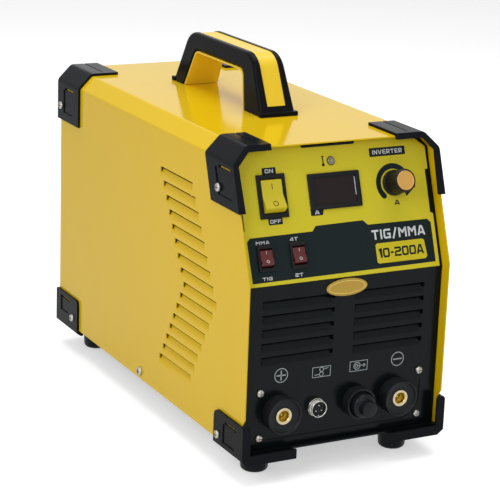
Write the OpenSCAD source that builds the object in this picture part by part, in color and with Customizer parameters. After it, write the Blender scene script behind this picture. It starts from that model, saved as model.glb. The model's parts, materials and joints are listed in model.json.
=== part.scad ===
// Inverter power source for TIG and stick welding.
// Millimetres. +Z is up and the control front faces -Y.
// The origin lies on the floor under the middle of the overall box.

/* [Body] */
// Width over the two side walls of the cover.
body_width = 180; // [150:1:220]
// Height of the roof above the underside of the base pan.
body_height = 237; // [200:1:280]
// Length of the cover from its foremost edge to its rear edge.
body_length = 377; // [320:1:430]
// Width and height of the slanted strip between each side and the roof.
roof_chamfer = 11.3; // [6:0.1:18]
// Outer radius of the cover's folds.
bend_radius = 3; // [1.5:0.5:5]
// Height of the foremost point of the cover's front edge.
apex_height = 138; // [110:1:160]
// How far the front edge leans back between that point and the roof.
lean_run = 35.5; // [20:0.5:45]
// Sheet thickness of the cover.
cover_sheet = 1; // [0.8:0.1:1.5]
// Sheet thickness of the base pan and the end panels.
pan_sheet = 1.5; // [1:0.1:2]
// Depth of the front and rear panels behind the cover's edges.
panel_recess = 9; // [5:0.5:14]
// Height of the side flanges folded up from the base pan.
pan_flange = 14; // [8:1:20]
// Gap left between fixed pieces that lie on each other.
seat_gap = 0.15; // [0.1:0.05:0.3]
// Gap left round the edges of the panels and the pan.
edge_gap = 0.4; // [0.3:0.05:0.8]

/* [Louvres] */
// Length of one side louvre.
side_louvre_length = 60; // [40:1:70]
// Height step from one side louvre to the next.
side_louvre_pitch = 10.63; // [9:0.01:12]
// How far each side louvre is stepped along the body from its neighbour.
side_louvre_step = 5.95; // [4:0.05:7]
// Distance of the top side louvre's slit below the roof.
side_louvre_drop = 41.6; // [37:0.1:57]
// Rows from the top louvre down to the arrow's tip.
side_rows_to_tip = 8; // [6:1:10]
// Number of louvres on each side.
side_louvre_rows = 16; // [10:1:18]
// Distance of the arrow's tip from the foremost edge.
side_louvre_tip = 53.8; // [45:0.1:70]
// Height of one pressed louvre.
louvre_height = 8; // [6:0.5:9]
// How far a side louvre's blade is pressed inwards.
louvre_depth = 2.6; // [2:0.1:5]
// Open height of the slit above a side louvre's blade.
louvre_slit = 2.5; // [1.5:0.1:4]
// How far a front louvre's blade is pressed inwards.
front_louvre_depth = 3.4; // [2:0.1:5]
// Open height of the slit above a front louvre's blade.
front_louvre_slit = 2; // [1.5:0.1:4]
// Length of one front louvre.
front_louvre_length = 64; // [50:1:70]
// Height step between front louvres.
front_louvre_pitch = 11.35; // [10:0.05:13]
// Height of the top front louvre's slit.
front_louvre_top = 122.2; // [115:0.1:126]
// Number of front louvres in each column.
front_louvre_rows = 5; // [3:1:6]
// Distance from the middle of the front to the middle of a louvre column.
front_louvre_offset = 41; // [38:0.5:46]

/* [Corner guards] */
// Wall thickness of the moulded corner guards.
guard_wall = 2.4; // [1.8:0.1:3]
// Length of a guard along the body.
guard_length = 47.5; // [40:0.5:55]
// Distance below the roof at which the top guards end on the side walls.
guard_drop = 46; // [40:1:57]
// Distance from the middle of the body to the front top guards' inner ends.
guard_roof_edge = 58; // [50:1:66]
// Distance from the middle of the body to the rear top guards' inner ends.
rear_guard_roof_edge = 54; // [46:1:64]
// How far a guard's end lip reaches in from its outer face.
guard_lip = 6; // [4:0.5:8]
// Height of the bottom guards' upper edge above the base pan's underside.
bottom_guard_top = 25.5; // [20:0.5:32]
// How far the bottom guards hang below the base pan.
bottom_guard_drop = 6.4; // [5:0.1:8]
// Length of a bottom guard across the front or rear.
bottom_guard_reach = 48; // [40:0.5:55]

/* [Feet and handle] */
// Radius of a rubber foot at its top.
foot_radius = 12.4; // [10:0.1:15]
// Height of a rubber foot.
foot_height = 24; // [18:0.5:30]
// Distance of the feet from the middle of the body.
foot_offset = 64; // [55:1:70]
// Distance of the front feet from the foremost edge.
foot_front = 30; // [25:1:40]
// Distance of the rear feet from the rearmost edge.
foot_rear_inset = 27; // [17:1:47]
// Height of the carry handle above the roof.
handle_height = 49.7; // [45:0.1:60]
// Length of the handle at the roof, outside its legs.
handle_length = 172; // [150:1:190]
// Distance of the handle's front leg behind the foremost edge.
handle_front = 128; // [110:1:150]
// Height of the finger opening.
finger_height = 34; // [30:0.5:38]
// Length of the front leg's foot along the roof.
front_leg = 27; // [22:0.5:32]
// Length of the rear leg's foot along the roof.
rear_leg = 25; // [20:0.5:30]
// Run of the front leg over its height.
front_leg_lean = 19; // [10:0.5:26]
// Run of the rear leg over its height.
rear_leg_lean = 31; // [20:0.5:36]
// Half width of the handle at its top.
grip_half = 11.8; // [10:0.1:15]
// Half width of the handle at the roof.
grip_foot_half = 14.8; // [12:0.1:18]
// Half width of the middle core of the handle.
core_half = 7.8; // [6:0.1:10]

/* [Controls] */
// Width of the main switch bezel.
main_bezel_width = 24.6; // [20:0.1:30]
// Height of the main switch bezel.
main_bezel_height = 34; // [28:0.1:38]
// Width of a selector switch bezel.
small_bezel_width = 14; // [12:0.1:16]
// Height of a selector switch bezel.
small_bezel_height = 20; // [17:0.1:22]
// Width of the meter window.
meter_width = 45.4; // [40:0.1:50]
// Height of the meter window.
meter_height = 27.3; // [22:0.1:32]
// Angle a rocker is tilted away from level in each switched position.
rocker_tilt = 12; // [8:0.5:15]
// Radius of the current knob at the panel.
knob_radius = 10.2; // [8:0.1:12]
// Radius of the knob's coloured cap.
knob_cap_radius = 8.8; // [6:0.1:9]
// Height of the knob above the panel.
knob_height = 20; // [12:0.5:22]
// Radius of the potentiometer shaft.
pot_shaft_radius = 3; // [2.5:0.05:3.5]
// Radial running clearance of the shaft and pivots.
running_gap = 0.05; // [0.02:0.01:0.1]

/* [Outputs] */
// Bore radius of the twist-lock output sockets.
socket_bore = 4.5; // [4.5:0.1:6.5]
// Outer radius of the socket contacts.
contact_radius = 6.3; // [5.5:0.1:8]
// Outer radius of the socket barrels.
barrel_radius = 13.4; // [12:0.1:16]
// How far the socket barrels stand out of the panel.
barrel_reach = 10; // [8:0.5:16]
// Height of the row of sockets above the base pan's underside.
socket_row = 29.8; // [26:0.1:34]
// How far the torch port's cap stands out of the panel.
torch_cap_reach = 23; // [18:0.5:28]
// Outer radius of the control socket's ring.
control_ring_radius = 7; // [6:0.1:9]

/* [Rear and inside] */
// Side length of the cooling fan's square frame.
fan_size = 120; // [92:1:120]
// Depth of the cooling fan's frame.
fan_depth = 25; // [25:1:38]
// Height of the fan's axis above the base pan's underside.
fan_axis_height = 130; // [100:1:150]
// How far the mains cable gland stands out of the rear panel.
gland_reach = 26; // [20:1:32]
// Outer radius of the gas hose.
hose_radius = 4; // [3:0.5:5]
// Height of the power board above the base pan's underside.
board_height = 96; // [80:1:110]

/* [Hidden] */
half = body_width / 2;
z_base = foot_height;
front_over = torch_cap_reach - panel_recess;
rear_over = gland_reach - panel_recess;
y_front = (front_over - body_length - rear_over) / 2;
bend_height = body_height - roof_chamfer;
lean_angle = atan(lean_run / (body_height - apex_height));
lean_rate = lean_run / (body_height - apex_height);
fold_height = 134;
guard_low_edge = body_height - guard_drop;
// Length of the leaning panel up the slope, and its share of the slope that the controls are laid out on.
slope_length = (body_height - fold_height) / cos(lean_angle);
layout_slope = 109.42;
up = slope_length / layout_slope;
miter = tan(22.5);
rear_panel_y = body_length - panel_recess;
foot_rear = body_length - foot_rear_inset;
eps = 0.01;
fine = 64;
fold_steps = 3;

// Moves children from the body's own frame, at the foremost edge and pan underside.
module in_body() { translate([0, y_front, z_base]) children(); }

// Frame of the upright part of the front panel. Inwards is +Y.
module at_front() { in_body() translate([0, panel_recess, 0]) children(); }

// Frame of the leaning part of the front panel. Its Z runs up the slope from the fold.
module at_lean() {
  at_front() translate([0, 0, fold_height]) rotate([-lean_angle, 0, 0]) children();
}

// Frame of the rear panel's outer face. Outwards is +Y.
module at_rear() { in_body() translate([0, rear_panel_y, 0]) children(); }

module both_sides() {
  children();
  mirror([1, 0, 0]) children();
}

module box(low, high) { translate(low) cube(high - low); }

// Rod along +Y from the origin.
module rod(radius, reach, sides = fine) {
  rotate([-90, 0, 0]) cylinder(r = radius, h = reach, $fn = sides);
}

// Tube along +Y from the origin.
module tube(outer, inner, reach) {
  difference() {
    rod(outer, reach);
    translate([0, -eps, 0]) rod(inner, reach + 2 * eps);
  }
}

// Upright hexagon nut along +Y.
module hex_nut(flats, reach, hole) {
  difference() {
    rod(flats / 2 / cos(30), reach, 6);
    translate([0, -eps, 0]) rod(hole, reach + 2 * eps);
  }
}

function arc(x, y, radius, from, to, steps = 8) =
  [for (i = [0:steps]) let (a = from + (to - from) * i / steps) [x + radius * cos(a), y + radius * sin(a)]];

// Points on the turn from one edge to the next, rounded at a corner.
function turn_corner(a, p, b, radius, steps) =
  let (u = (a - p) / norm(a - p), v = (b - p) / norm(b - p), spread = acos(u * v) / 2,
    middle = p + (u + v) / norm(u + v) * radius / sin(spread),
    start = p + u * radius / tan(spread) - middle, stop = p + v * radius / tan(spread) - middle,
    from = atan2(start[1], start[0]), sweep = atan2(stop[1], stop[0]) - from,
    turn = sweep > 180 ? sweep - 360 : sweep < -180 ? sweep + 360 : sweep)
  [for (i = [0:steps]) middle + radius * [cos(from + turn * i / steps), sin(from + turn * i / steps)]];

// Rounds the corners of an outline. Each point is followed by its own radius, or 0 for a sharp corner.
function rounded(points, steps = 6) = [for (i = [0:len(points) - 1])
  let (n = len(points), p = points[i], a = points[(i + n - 1) % n], b = points[(i + 1) % n])
  each p[2] == 0 ? [[p[0], p[1]]] :
    turn_corner([a[0], a[1]], [p[0], p[1]], [b[0], b[1]], p[2], steps)];

// Outline of the body section with its folds rounded, grown outwards by a margin.
function section(margin, low) = let (fold = bend_radius + margin) rounded([
  [-half - margin, low, 0],
  [-half - margin, bend_height + miter * margin, fold],
  [-half + roof_chamfer - miter * margin, body_height + margin, fold],
  [half - roof_chamfer + miter * margin, body_height + margin, fold],
  [half + margin, bend_height + miter * margin, fold],
  [half + margin, low, 0]], fold_steps);

// Extrudes a section drawn in x and z along +Y.
module along_body(from, to) {
  translate([0, to, 0]) rotate([90, 0, 0]) linear_extrude(to - from) children();
}

// Extrudes a side view drawn in y and z across the body.
module across(from, to) {
  translate([from, 0, 0]) rotate([90, 0, 90]) linear_extrude(to - from) children();
}

// Ring between two margins of the body section.
module section_ring(outer, inner, low) {
  difference() {
    polygon(section(outer, low));
    polygon(section(inner, low - 1));
  }
}

// Side view of a strip behind the front edge line, between two distances from it.
function front_strip(from, to, low, high) = [
  [from + max(0, (low - apex_height) * lean_rate), low],
  [to + max(0, (low - apex_height) * lean_rate), low],
  [to + (high - apex_height) * lean_rate, high],
  [from + (high - apex_height) * lean_rate, high]];

// Pan head screw along +Y: its head lies in front of the origin, its thread behind it.
module pan_screw(head, shank, reach) {
  head_rise = head * 0.62;
  slot_width = head * 0.3;
  slot_depth = head_rise * 0.6;
  difference() {
    rotate([90, 0, 0]) rotate_extrude($fn = fine)
      polygon(concat([[0, 0], [head, 0]], arc(head - head_rise * 0.8, head_rise * 0.2, head_rise * 0.8, 0, 90, 5),
        [[0, head_rise]]));
    translate([-head * 0.62, -head_rise - eps, -slot_width / 2]) cube([head * 1.24, slot_depth, slot_width]);
    translate([-slot_width / 2, -head_rise - eps, -head * 0.62]) cube([slot_width, slot_depth, head * 1.24]);
  }
  rod(shank, reach, 24);
}

/* ---- Sheet metal ---- */

// Pressed louvre, drawn for a wall whose outer face lies at y = 0 and faces -Y.
module louvre_window(length, sheet) {
  box([-length / 2, -1, -louvre_height], [length / 2, sheet + 1, 0]);
}

// Blade of a louvre, pressed inwards from the window's lower edge, with a ramp at each end. The slit above it stays open.
module louvre_blade(length, sheet, slit, depth) {
  root = 0.3;
  ramp = 4;
  end_open = 2.2;
  across(-length / 2, length / 2)
    polygon([[0, -louvre_height - root], [sheet, -louvre_height - root], [sheet, -louvre_height],
      [depth + sheet, -slit], [depth, -slit], [0, -louvre_height]]);
  both_sides() translate([-length / 2, 0, -louvre_height]) linear_extrude(louvre_height - slit - end_open)
    polygon([[-root, 0], [0, 0], [ramp, depth], [ramp, depth + sheet], [-root, sheet]]);
}

// Places children at every side louvre of the left wall.
module side_louvres() {
  for (row = [0:side_louvre_rows - 1])
    translate([-half, side_louvre_tip + abs(row - side_rows_to_tip) * side_louvre_step + side_louvre_length / 2,
      body_height - side_louvre_drop - row * side_louvre_pitch]) rotate([0, 0, -90]) children();
}

guard_screw_drop = 33;
guard_screw_height = body_height - guard_screw_drop;
guard_screw_back = 30.3;
guard_screw_rear = 6;
low_screw_height = 5.8;
low_screw_back = 40;
low_screw_rear = 36.7;
low_screw_rear_height = 9.8;
side_screw_y = 193;
side_screw_height = 6.8;
handle_screw_ys = [handle_front + front_leg / 2, handle_front + handle_length - rear_leg / 2];
guard_screw_hole = 1.7;
pilot_hole = 1.45;

// Middle of the guard screws on the left wall: distance from the foremost edge and height.
guard_screw_spots = [
  [guard_screw_back + (guard_screw_height - apex_height) * lean_rate - guard_wall, guard_screw_height],
  [body_length - guard_screw_rear, guard_screw_height],
  [low_screw_back, low_screw_height],
  [body_length - low_screw_rear, low_screw_rear_height]];

module top_cover() {
  front_corner_rise = 31;
  front_corner_low = 24;
  front_corner_back = 5;
  in_body() color("gold") {
    difference() {
      along_body(0, body_length) section_ring(0, -cover_sheet, 0);
      across(-half - 1, half + 1) polygon([[-1, apex_height], [0, apex_height],
        [lean_run + lean_rate, body_height + 1], [-1, body_height + 1]]);
      across(-half - 1, half + 1) polygon([[-1, -1], [front_corner_back, -1],
        [front_corner_back, front_corner_low], [0, front_corner_rise], [-1, front_corner_rise]]);
      both_sides() {
        side_louvres() louvre_window(side_louvre_length, cover_sheet);
        for (spot = guard_screw_spots)
          translate([-half - 1, spot[0], spot[1]]) rotate([0, 0, -90]) rod(pilot_hole, 2 * cover_sheet + 1, 24);
        translate([-half - 1, side_screw_y, side_screw_height]) rotate([0, 0, -90])
          rod(guard_screw_hole, 2 * cover_sheet + 1, 24);
      }
      for (y = handle_screw_ys)
        translate([0, y, body_height - 2]) cylinder(r = handle_screw_hole, h = 4, $fn = 24);
    }
    both_sides() side_louvres() louvre_blade(side_louvre_length, cover_sheet, louvre_slit, louvre_depth);
  }
}

foot_screw_hole = 2.7;
handle_screw_hole = 2.7;

module base_pan() {
  pan_half = half - cover_sheet - edge_gap;
  pan_front = 3;
  vent_width = 4;
  vent_length = 46;
  vent_pitch = 12;
  vent_count = 8;
  in_body() color([0.1, 0.1, 0.11]) difference() {
    union() {
      box([-pan_half, pan_front, 0], [pan_half, body_length - pan_front, pan_sheet]);
      both_sides() box([-pan_half, pan_front + panel_recess, 0],
        [-pan_half + pan_sheet, body_length - pan_front - panel_recess, pan_flange]);
    }
    for (side = [-1, 1], y = [foot_front, foot_rear])
      translate([side * foot_offset, y, -1]) cylinder(r = foot_screw_hole, h = pan_sheet + 2, $fn = 24);
    for (side = [-1, 1], i = [0:vent_count - 1])
      translate([side * 44 - vent_length / 2, 130 + i * vent_pitch, -1]) cube([vent_length, vent_width, pan_sheet + 2]);
    both_sides() {
      translate([-half, side_screw_y, side_screw_height]) rotate([0, 0, -90]) rod(pilot_hole, 6, 24);
      for (i = [2, 3])
        translate([-half, guard_screw_spots[i][0], guard_screw_spots[i][1]]) rotate([0, 0, -90])
          rod(pilot_hole, 6, 24);
    }
  }
}

panel_half = half - cover_sheet - edge_gap;
panel_foot_half = panel_half - pan_sheet - edge_gap;
panel_top = body_height - cover_sheet - edge_gap;
plus_x = -55.6;
minus_x = 50.4;
torch_x = 14.4;
control_x = -22.4;
barrel_hole = 11;
torch_hole = 11;
control_hole = 6.2;
strip_screw_x = 72.4;
strip_screw_low = 10.4;
strip_screw_high = 47.8;
meter_at = [-1.4, 68.4 * up];
knob_at = [52.6, 69.6 * up];
led_at = [-1.3, 91.6 * up];
led_radius = 2.5;
pot_bush_radius = 4.5;
cutout_gap = 0.3;
rocker_gap = 0.3;
end_wall = 1.85;

// Rocker switches: middle, bezel width, bezel height, bezel lip, side wall, housing depth.
main_switch = [[-56.6, 68.3 * up], main_bezel_width, main_bezel_height, 1.6, 1.4, 20];
process_switch = [[-68.5, 21.5 * up], small_bezel_width, small_bezel_height, 0.7, 0.8, 14];
trigger_switch = [[-40, 21.2 * up], small_bezel_width, small_bezel_height, 0.7, 0.8, 14];

function housing_width(s) = s[1] - 2 * s[3];
function housing_height(s) = s[2] - 2 * s[3];
function opening_width(s) = housing_width(s) - 2 * s[4];
function opening_height(s) = housing_height(s) - 2 * end_wall;

// Openings through the leaning part of the panel, shared by the sheet and its printed face.
module control_cutouts(depth) {
  module window(at, width, height) {
    translate([at[0] - width / 2, -1, at[1] - height / 2]) cube([width, depth + 2, height]);
  }
  for (s = [main_switch, process_switch, trigger_switch])
    window(s[0], housing_width(s) + cutout_gap, housing_height(s) + cutout_gap);
  window(meter_at, meter_width + cutout_gap, meter_height + cutout_gap);
  translate([knob_at[0], -1, knob_at[1]]) rod(pot_bush_radius + cutout_gap / 2, depth + 2);
  translate([led_at[0], -1, led_at[1]]) rod(led_radius + cutout_gap / 2, depth + 2, 32);
}

module front_louvres() {
  for (side = [-1, 1], row = [0:front_louvre_rows - 1])
    translate([side * front_louvre_offset, 0, front_louvre_top - row * front_louvre_pitch]) children();
}

// Shallow pressed line that frames the row of sockets.
module pressed_frame() {
  line = 1.3;
  line_depth = 0.6;
  low = 8.6;
  left = -66;
  right = 73.6;
  corner = 19;
  top = 40;
  box([left, -1, low - line / 2], [right - corner, line_depth, low + line / 2]);
  box([right - line / 2, -1, low + corner], [right + line / 2, line_depth, top]);
  intersection() {
    translate([right - corner, -1, low + corner]) tube(corner + line / 2, corner - line / 2, 1 + line_depth);
    box([right - corner, -1, 0], [right + line, line_depth, low + corner]);
  }
}

module front_panel() {
  color([0.07, 0.07, 0.08]) {
    difference() {
      union() {
        at_front() box([-panel_half, 0, pan_sheet + edge_gap], [panel_half, pan_sheet, fold_height]);
        intersection() {
          at_lean() box([-panel_half, 0, -eps], [panel_half, pan_sheet, body_height]);
          in_body() along_body(0, body_length) polygon(section(-cover_sheet - edge_gap, 0));
        }
        at_front() intersection() {
          translate([0, 0, fold_height]) rotate([0, 90, 0])
            cylinder(r = pan_sheet * 0.98, h = 2 * panel_half, center = true, $fn = 32);
          box([-panel_half, 0, fold_height - pan_sheet], [panel_half, pan_sheet, fold_height]);
        }
        at_front() box([-panel_foot_half, pan_sheet - eps, pan_sheet + edge_gap],
          [panel_foot_half, 13, 2 * pan_sheet + edge_gap]);
      }
      at_lean() control_cutouts(pan_sheet);
      at_front() {
        front_louvres() louvre_window(front_louvre_length, pan_sheet);
        for (x = [plus_x, minus_x])
          translate([x, -1, socket_row]) rod(barrel_hole + cutout_gap / 2, pan_sheet + 2);
        translate([torch_x, -1, socket_row]) rod(torch_hole + cutout_gap / 2, pan_sheet + 2);
        translate([control_x, -1, socket_row]) rod(control_hole + cutout_gap / 2, pan_sheet + 2);
        for (side = [-1, 1], z = [strip_screw_low, strip_screw_high])
          translate([side * strip_screw_x, -1, z]) rod(guard_screw_hole, pan_sheet + 2, 24);
        pressed_frame();
      }
    }
    at_front() front_louvres() louvre_blade(front_louvre_length, pan_sheet, front_louvre_slit, front_louvre_depth);
  }
}

decal_sheet = 0.5;

module control_decal() {
  decal_half = 86;
  decal_top = slope_length - 3.4;
  corner_x = 9.6;
  corner_z = 9.3;
  top_notch = [-26.7, 21.6];
  top_notch_depth = 1;
  side_notch = [42.5 * up, 78.4 * up];
  side_notch_depth = 2.6;
  color([0.72, 0.66, 0.13]) at_lean() difference() {
    translate([0, -seat_gap, 0]) rotate([90, 0, 0]) linear_extrude(decal_sheet)
      polygon([[-decal_half, 0.3], [decal_half, 0.3],
        [decal_half, side_notch[0]], [decal_half - side_notch_depth, side_notch[0] + side_notch_depth / 2],
        [decal_half - side_notch_depth, side_notch[1]], [decal_half, side_notch[1]],
        [decal_half, decal_top - corner_z], [decal_half - corner_x, decal_top - 2],
        [decal_half - corner_x - 6, decal_top],
        [top_notch[1], decal_top], [top_notch[1], decal_top - top_notch_depth],
        [top_notch[0], decal_top - top_notch_depth], [top_notch[0], decal_top],
        [-decal_half + corner_x + 6, decal_top],
        [-decal_half + corner_x, decal_top - 2], [-decal_half, decal_top - corner_z],
        [-decal_half, side_notch[1]], [-decal_half + side_notch_depth, side_notch[1]],
        [-decal_half + side_notch_depth, side_notch[0] + side_notch_depth / 2], [-decal_half, side_notch[0]]]);
    translate([0, -1, 0]) control_cutouts(1);
  }
}

fan_hole = 57;
gland_x = -58;
gland_height = 34;
gland_radius = 8;
inlet_x = 66;
inlet_height = socket_row;
inlet_radius = 5;
earth_x = -20;
earth_height = 30;
earth_radius = 3;
fan_screw_half = 52.5;
fan_screw_hole = 2.2;

module rear_panel() {
  color([0.07, 0.07, 0.08]) at_rear() difference() {
    union() {
      intersection() {
        box([-panel_half, -pan_sheet, pan_sheet + edge_gap], [panel_half, 0, body_height]);
        translate([0, -rear_panel_y, 0]) along_body(0, body_length) polygon(section(-cover_sheet - edge_gap, 0));
      }
      box([-panel_foot_half, -13, pan_sheet + edge_gap],
        [panel_foot_half, -pan_sheet + eps, 2 * pan_sheet + edge_gap]);
    }
    translate([0, -pan_sheet - 1, fan_axis_height]) rod(fan_hole, pan_sheet + 2);
    for (x = [-1, 1], z = [-1, 1])
      translate([x * fan_screw_half, -pan_sheet - 1, fan_axis_height + z * fan_screw_half])
        rod(fan_screw_hole, pan_sheet + 2, 24);
    translate([gland_x, -pan_sheet - 1, gland_height]) rod(gland_radius + cutout_gap / 2, pan_sheet + 2);
    translate([inlet_x, -pan_sheet - 1, inlet_height]) rod(inlet_radius + cutout_gap / 2, pan_sheet + 2);
    translate([earth_x, -pan_sheet - 1, earth_height]) rod(earth_radius + cutout_gap / 2, pan_sheet + 2, 32);
  }
}

/* ---- Corner guards ---- */

guard_slot_length = 20;
guard_slot_width = 2.3;
guard_pocket_depth = 0.9;
lean_stretch = 1 / cos(lean_angle);

// Left guard over a top corner. The plate profile and the lip profile are side views in y and z.
module top_guard(plate, lip, roof_edge) {
  module slab(outer, inner, profile) {
    intersection() {
      along_body(-20, body_length + 20) intersection() {
        section_ring(outer, inner, guard_low_edge);
        translate([-half - 20, 0]) square([half + 20 - roof_edge, body_height + 20]);
      }
      across(-half - 20, 0) polygon(profile);
    }
  }
  slab(guard_wall, seat_gap, plate);
  slab(guard_wall, guard_wall - guard_lip, lip);
}

module guard_hole(spot) {
  translate([-half - guard_wall - 1, spot[0], spot[1]]) rotate([0, 0, -90]) rod(guard_screw_hole, guard_wall + 2, 24);
}

guard_slot_drop = 16.5;
guard_slot_height = body_height - guard_slot_drop;

// Open slot through a side plate at a distance and height, and the shallow pocket that hangs below it.
module guard_pocket(spot, width, drop, slope) {
  slot_low = spot[1] - guard_slot_width / 2;
  box([-half - guard_wall - 1, spot[0], slot_low], [-half, spot[0] + guard_slot_length, spot[1] + guard_slot_width / 2]);
  across(-half - guard_wall - 1, -half - guard_wall + guard_pocket_depth) polygon([
    [spot[0] + 3, slot_low + eps], [spot[0] + 3 + width, slot_low + eps],
    [spot[0] + 3 + width - drop * slope, slot_low - drop], [spot[0] + 3 - drop * slope, slot_low - drop]]);
}

module guard_top_front() {
  back = guard_length - guard_wall;
  top = body_height + 10;
  turn = front_strip(back, back, bend_height, top)[0][0];
  lip_front = -(guard_wall + seat_gap) * lean_stretch;
  plate = front_strip(lip_front, back, guard_low_edge, top);
  in_body() color([0.08, 0.08, 0.09]) difference() {
    top_guard([plate[0], plate[1], [turn, bend_height], [turn, top], plate[3]],
      front_strip(lip_front, -seat_gap * lean_stretch, guard_low_edge, top), guard_roof_edge);
    guard_hole(guard_screw_spots[0]);
    guard_pocket([33, guard_slot_height], 23.5, 21, lean_rate);
  }
}

module guard_top_rear() {
  front = body_length - guard_length + guard_wall;
  back = body_length + seat_gap + guard_wall;
  top = body_height + 10;
  in_body() color([0.08, 0.08, 0.09]) difference() {
    top_guard([[front, guard_low_edge], [back, guard_low_edge], [back, top], [front, top]],
      [[body_length + seat_gap, guard_low_edge], [back, guard_low_edge], [back, top], [body_length + seat_gap, top]],
      rear_guard_roof_edge);
    guard_hole(guard_screw_spots[1]);
    guard_pocket([front + 11, guard_slot_height], 20, 21, 0);
  }
}

// Left guard of a bottom corner, drawn for the front. Its rim runs under the pan's edge.
module bottom_guard(top, corner) {
  front = -guard_wall - seat_gap;
  rear = guard_length;
  outer = half + guard_wall;
  chamfer_x = 5.4;
  chamfer_z = 4.2;
  rim = 7;
  beam_top = 1.4;
  low_corner = 4;
  low = -bottom_guard_drop;
  intersection() {
    union() {
      box([-outer, front, low], [-half - seat_gap, rear, top]);
      box([-outer, front, low], [-outer + rim, -seat_gap, top]);
      box([-outer, front, low], [-outer + rim, rear, -seat_gap]);
      box([-outer, front, low], [-half + bottom_guard_reach - 2, rim, -seat_gap]);
      box([-outer, front, low], [-half + bottom_guard_reach - 2, -seat_gap, beam_top]);
    }
    across(-outer - 1, 0) polygon(rounded([[front, low, 0], [rear, low, low_corner], [rear, top, corner],
      [front, top, 2]]));
    along_body(front - 1, rear + 1) polygon([[-outer, top], [-outer, low + chamfer_z], [-outer + chamfer_x, low],
      [0, low], [0, top]]);
  }
}

rear_bottom_guard_rise = 3.2;

module guard_low_front() {
  in_body() color([0.08, 0.08, 0.09]) difference() {
    bottom_guard(bottom_guard_top, 6);
    guard_hole(guard_screw_spots[2]);
    guard_pocket([8.5, 19], 20, 16, 0);
  }
}

module guard_low_rear() {
  in_body() color([0.08, 0.08, 0.09]) difference() {
    translate([0, body_length, 0]) mirror([0, 1, 0])
      bottom_guard(bottom_guard_top + rear_bottom_guard_rise, 4);
    guard_hole(guard_screw_spots[3]);
    guard_pocket([body_length - 28.5, 23.5], 17, 12, 0);
  }
}

module guard_top_front_left() { guard_top_front(); }
module guard_top_front_right() { mirror([1, 0, 0]) guard_top_front(); }
module guard_top_rear_left() { guard_top_rear(); }
module guard_top_rear_right() { mirror([1, 0, 0]) guard_top_rear(); }
module guard_low_front_left() { guard_low_front(); }
module guard_low_front_right() { mirror([1, 0, 0]) guard_low_front(); }
module guard_low_rear_left() { guard_low_rear(); }
module guard_low_rear_right() { mirror([1, 0, 0]) guard_low_rear(); }

screw_shank = 1.4;

module guard_screws() {
  head = 3.4;
  color([0.3, 0.3, 0.31]) in_body() both_sides()
    for (spot = guard_screw_spots)
      translate([-half - guard_wall - seat_gap, spot[0], spot[1]]) rotate([0, 0, -90]) pan_screw(head, screw_shank, 9);
}

module cover_screws() {
  head = 3.9;
  color([0.62, 0.62, 0.64]) in_body() both_sides()
    translate([-half - seat_gap, side_screw_y, side_screw_height]) rotate([0, 0, -90])
      pan_screw(head, screw_shank, 9);
}

module panel_screws() {
  head = 3.2;
  color([0.2, 0.2, 0.21]) {
    at_front() for (side = [-1, 1], z = [strip_screw_low, strip_screw_high])
      translate([side * strip_screw_x, -seat_gap, z]) pan_screw(head, screw_shank, 9);
    at_rear() for (x = [-1, 1], z = [-1, 1])
      translate([x * fan_screw_half, guard_wire * 2 + 2 * seat_gap, fan_axis_height + z * fan_screw_half])
        rotate([0, 0, 180]) pan_screw(fan_screw_hole * 1.9, fan_screw_hole - 0.3, 22);
  }
}

/* ---- Feet and handle ---- */

foot_spots = [for (side = [-1, 1], y = [foot_front, foot_rear]) [side * foot_offset, y]];

module feet() {
  flare = 1.2;
  edge = 3.4;
  recess = 5.6;
  recess_depth = 12;
  color([0.05, 0.05, 0.05]) in_body() for (spot = foot_spots) translate([spot[0], spot[1], -foot_height])
    rotate_extrude($fn = fine)
      polygon(concat([[recess, 0]], arc(foot_radius - flare - edge, edge, edge, -90, 0, 6),
        [[foot_radius, foot_height - 3], [foot_radius, foot_height - seat_gap],
          [foot_screw_hole, foot_height - seat_gap], [foot_screw_hole, recess_depth], [recess, recess_depth]]));
}

module foot_screws() {
  shank = 2.4;
  head = 4.6;
  color([0.6, 0.6, 0.62]) in_body() for (spot = foot_spots)
    translate([spot[0], spot[1], -foot_height + 12 - seat_gap]) rotate([90, 0, 0]) pan_screw(head, shank, 22);
}

handle_rear = handle_front + handle_length;

// Side outline of the handle in y and height above the roof, and of its finger opening.
module handle_outline(inset = 0) {
  polygon(rounded([
    [handle_front + inset, seat_gap, 0],
    [handle_front + 4 + inset, 6, 30],
    [handle_front + front_leg_lean + inset, handle_height - inset, 9],
    [handle_rear - rear_leg_lean - inset, handle_height - inset, 12],
    [handle_rear - 5 - inset, 4, 20],
    [handle_rear - inset, seat_gap, 0]]));
}

module finger_outline(grow = 0) {
  front = handle_front + front_leg - grow;
  rear = handle_rear - rear_leg + grow;
  polygon(rounded([
    [front, -1, 0], [front + 3.5, 2, 8],
    [front + 14, finger_height + grow, 7 + grow],
    [rear - 18, finger_height + grow, 9 + grow],
    [rear - 7, 8, 16], [rear, -1, 0]]));
}

// Lengthwise body of the grip's cross-section, a margin inside its sides.
module grip_section(margin = 0) {
  along_body(handle_front - 1, handle_rear + 1) both_sides() polygon(rounded([
    [0, seat_gap, 0], [-grip_foot_half + margin, seat_gap, 0],
    [-grip_half + margin, handle_height, 3.4], [0, handle_height, 0]]));
}

// Skin of the core that lines the finger opening, and the black piece that closes the foot of the front leg.
finger_skin = 1.6;
tongue_depth = 7.5;
tongue_rise = 8.4;

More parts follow.
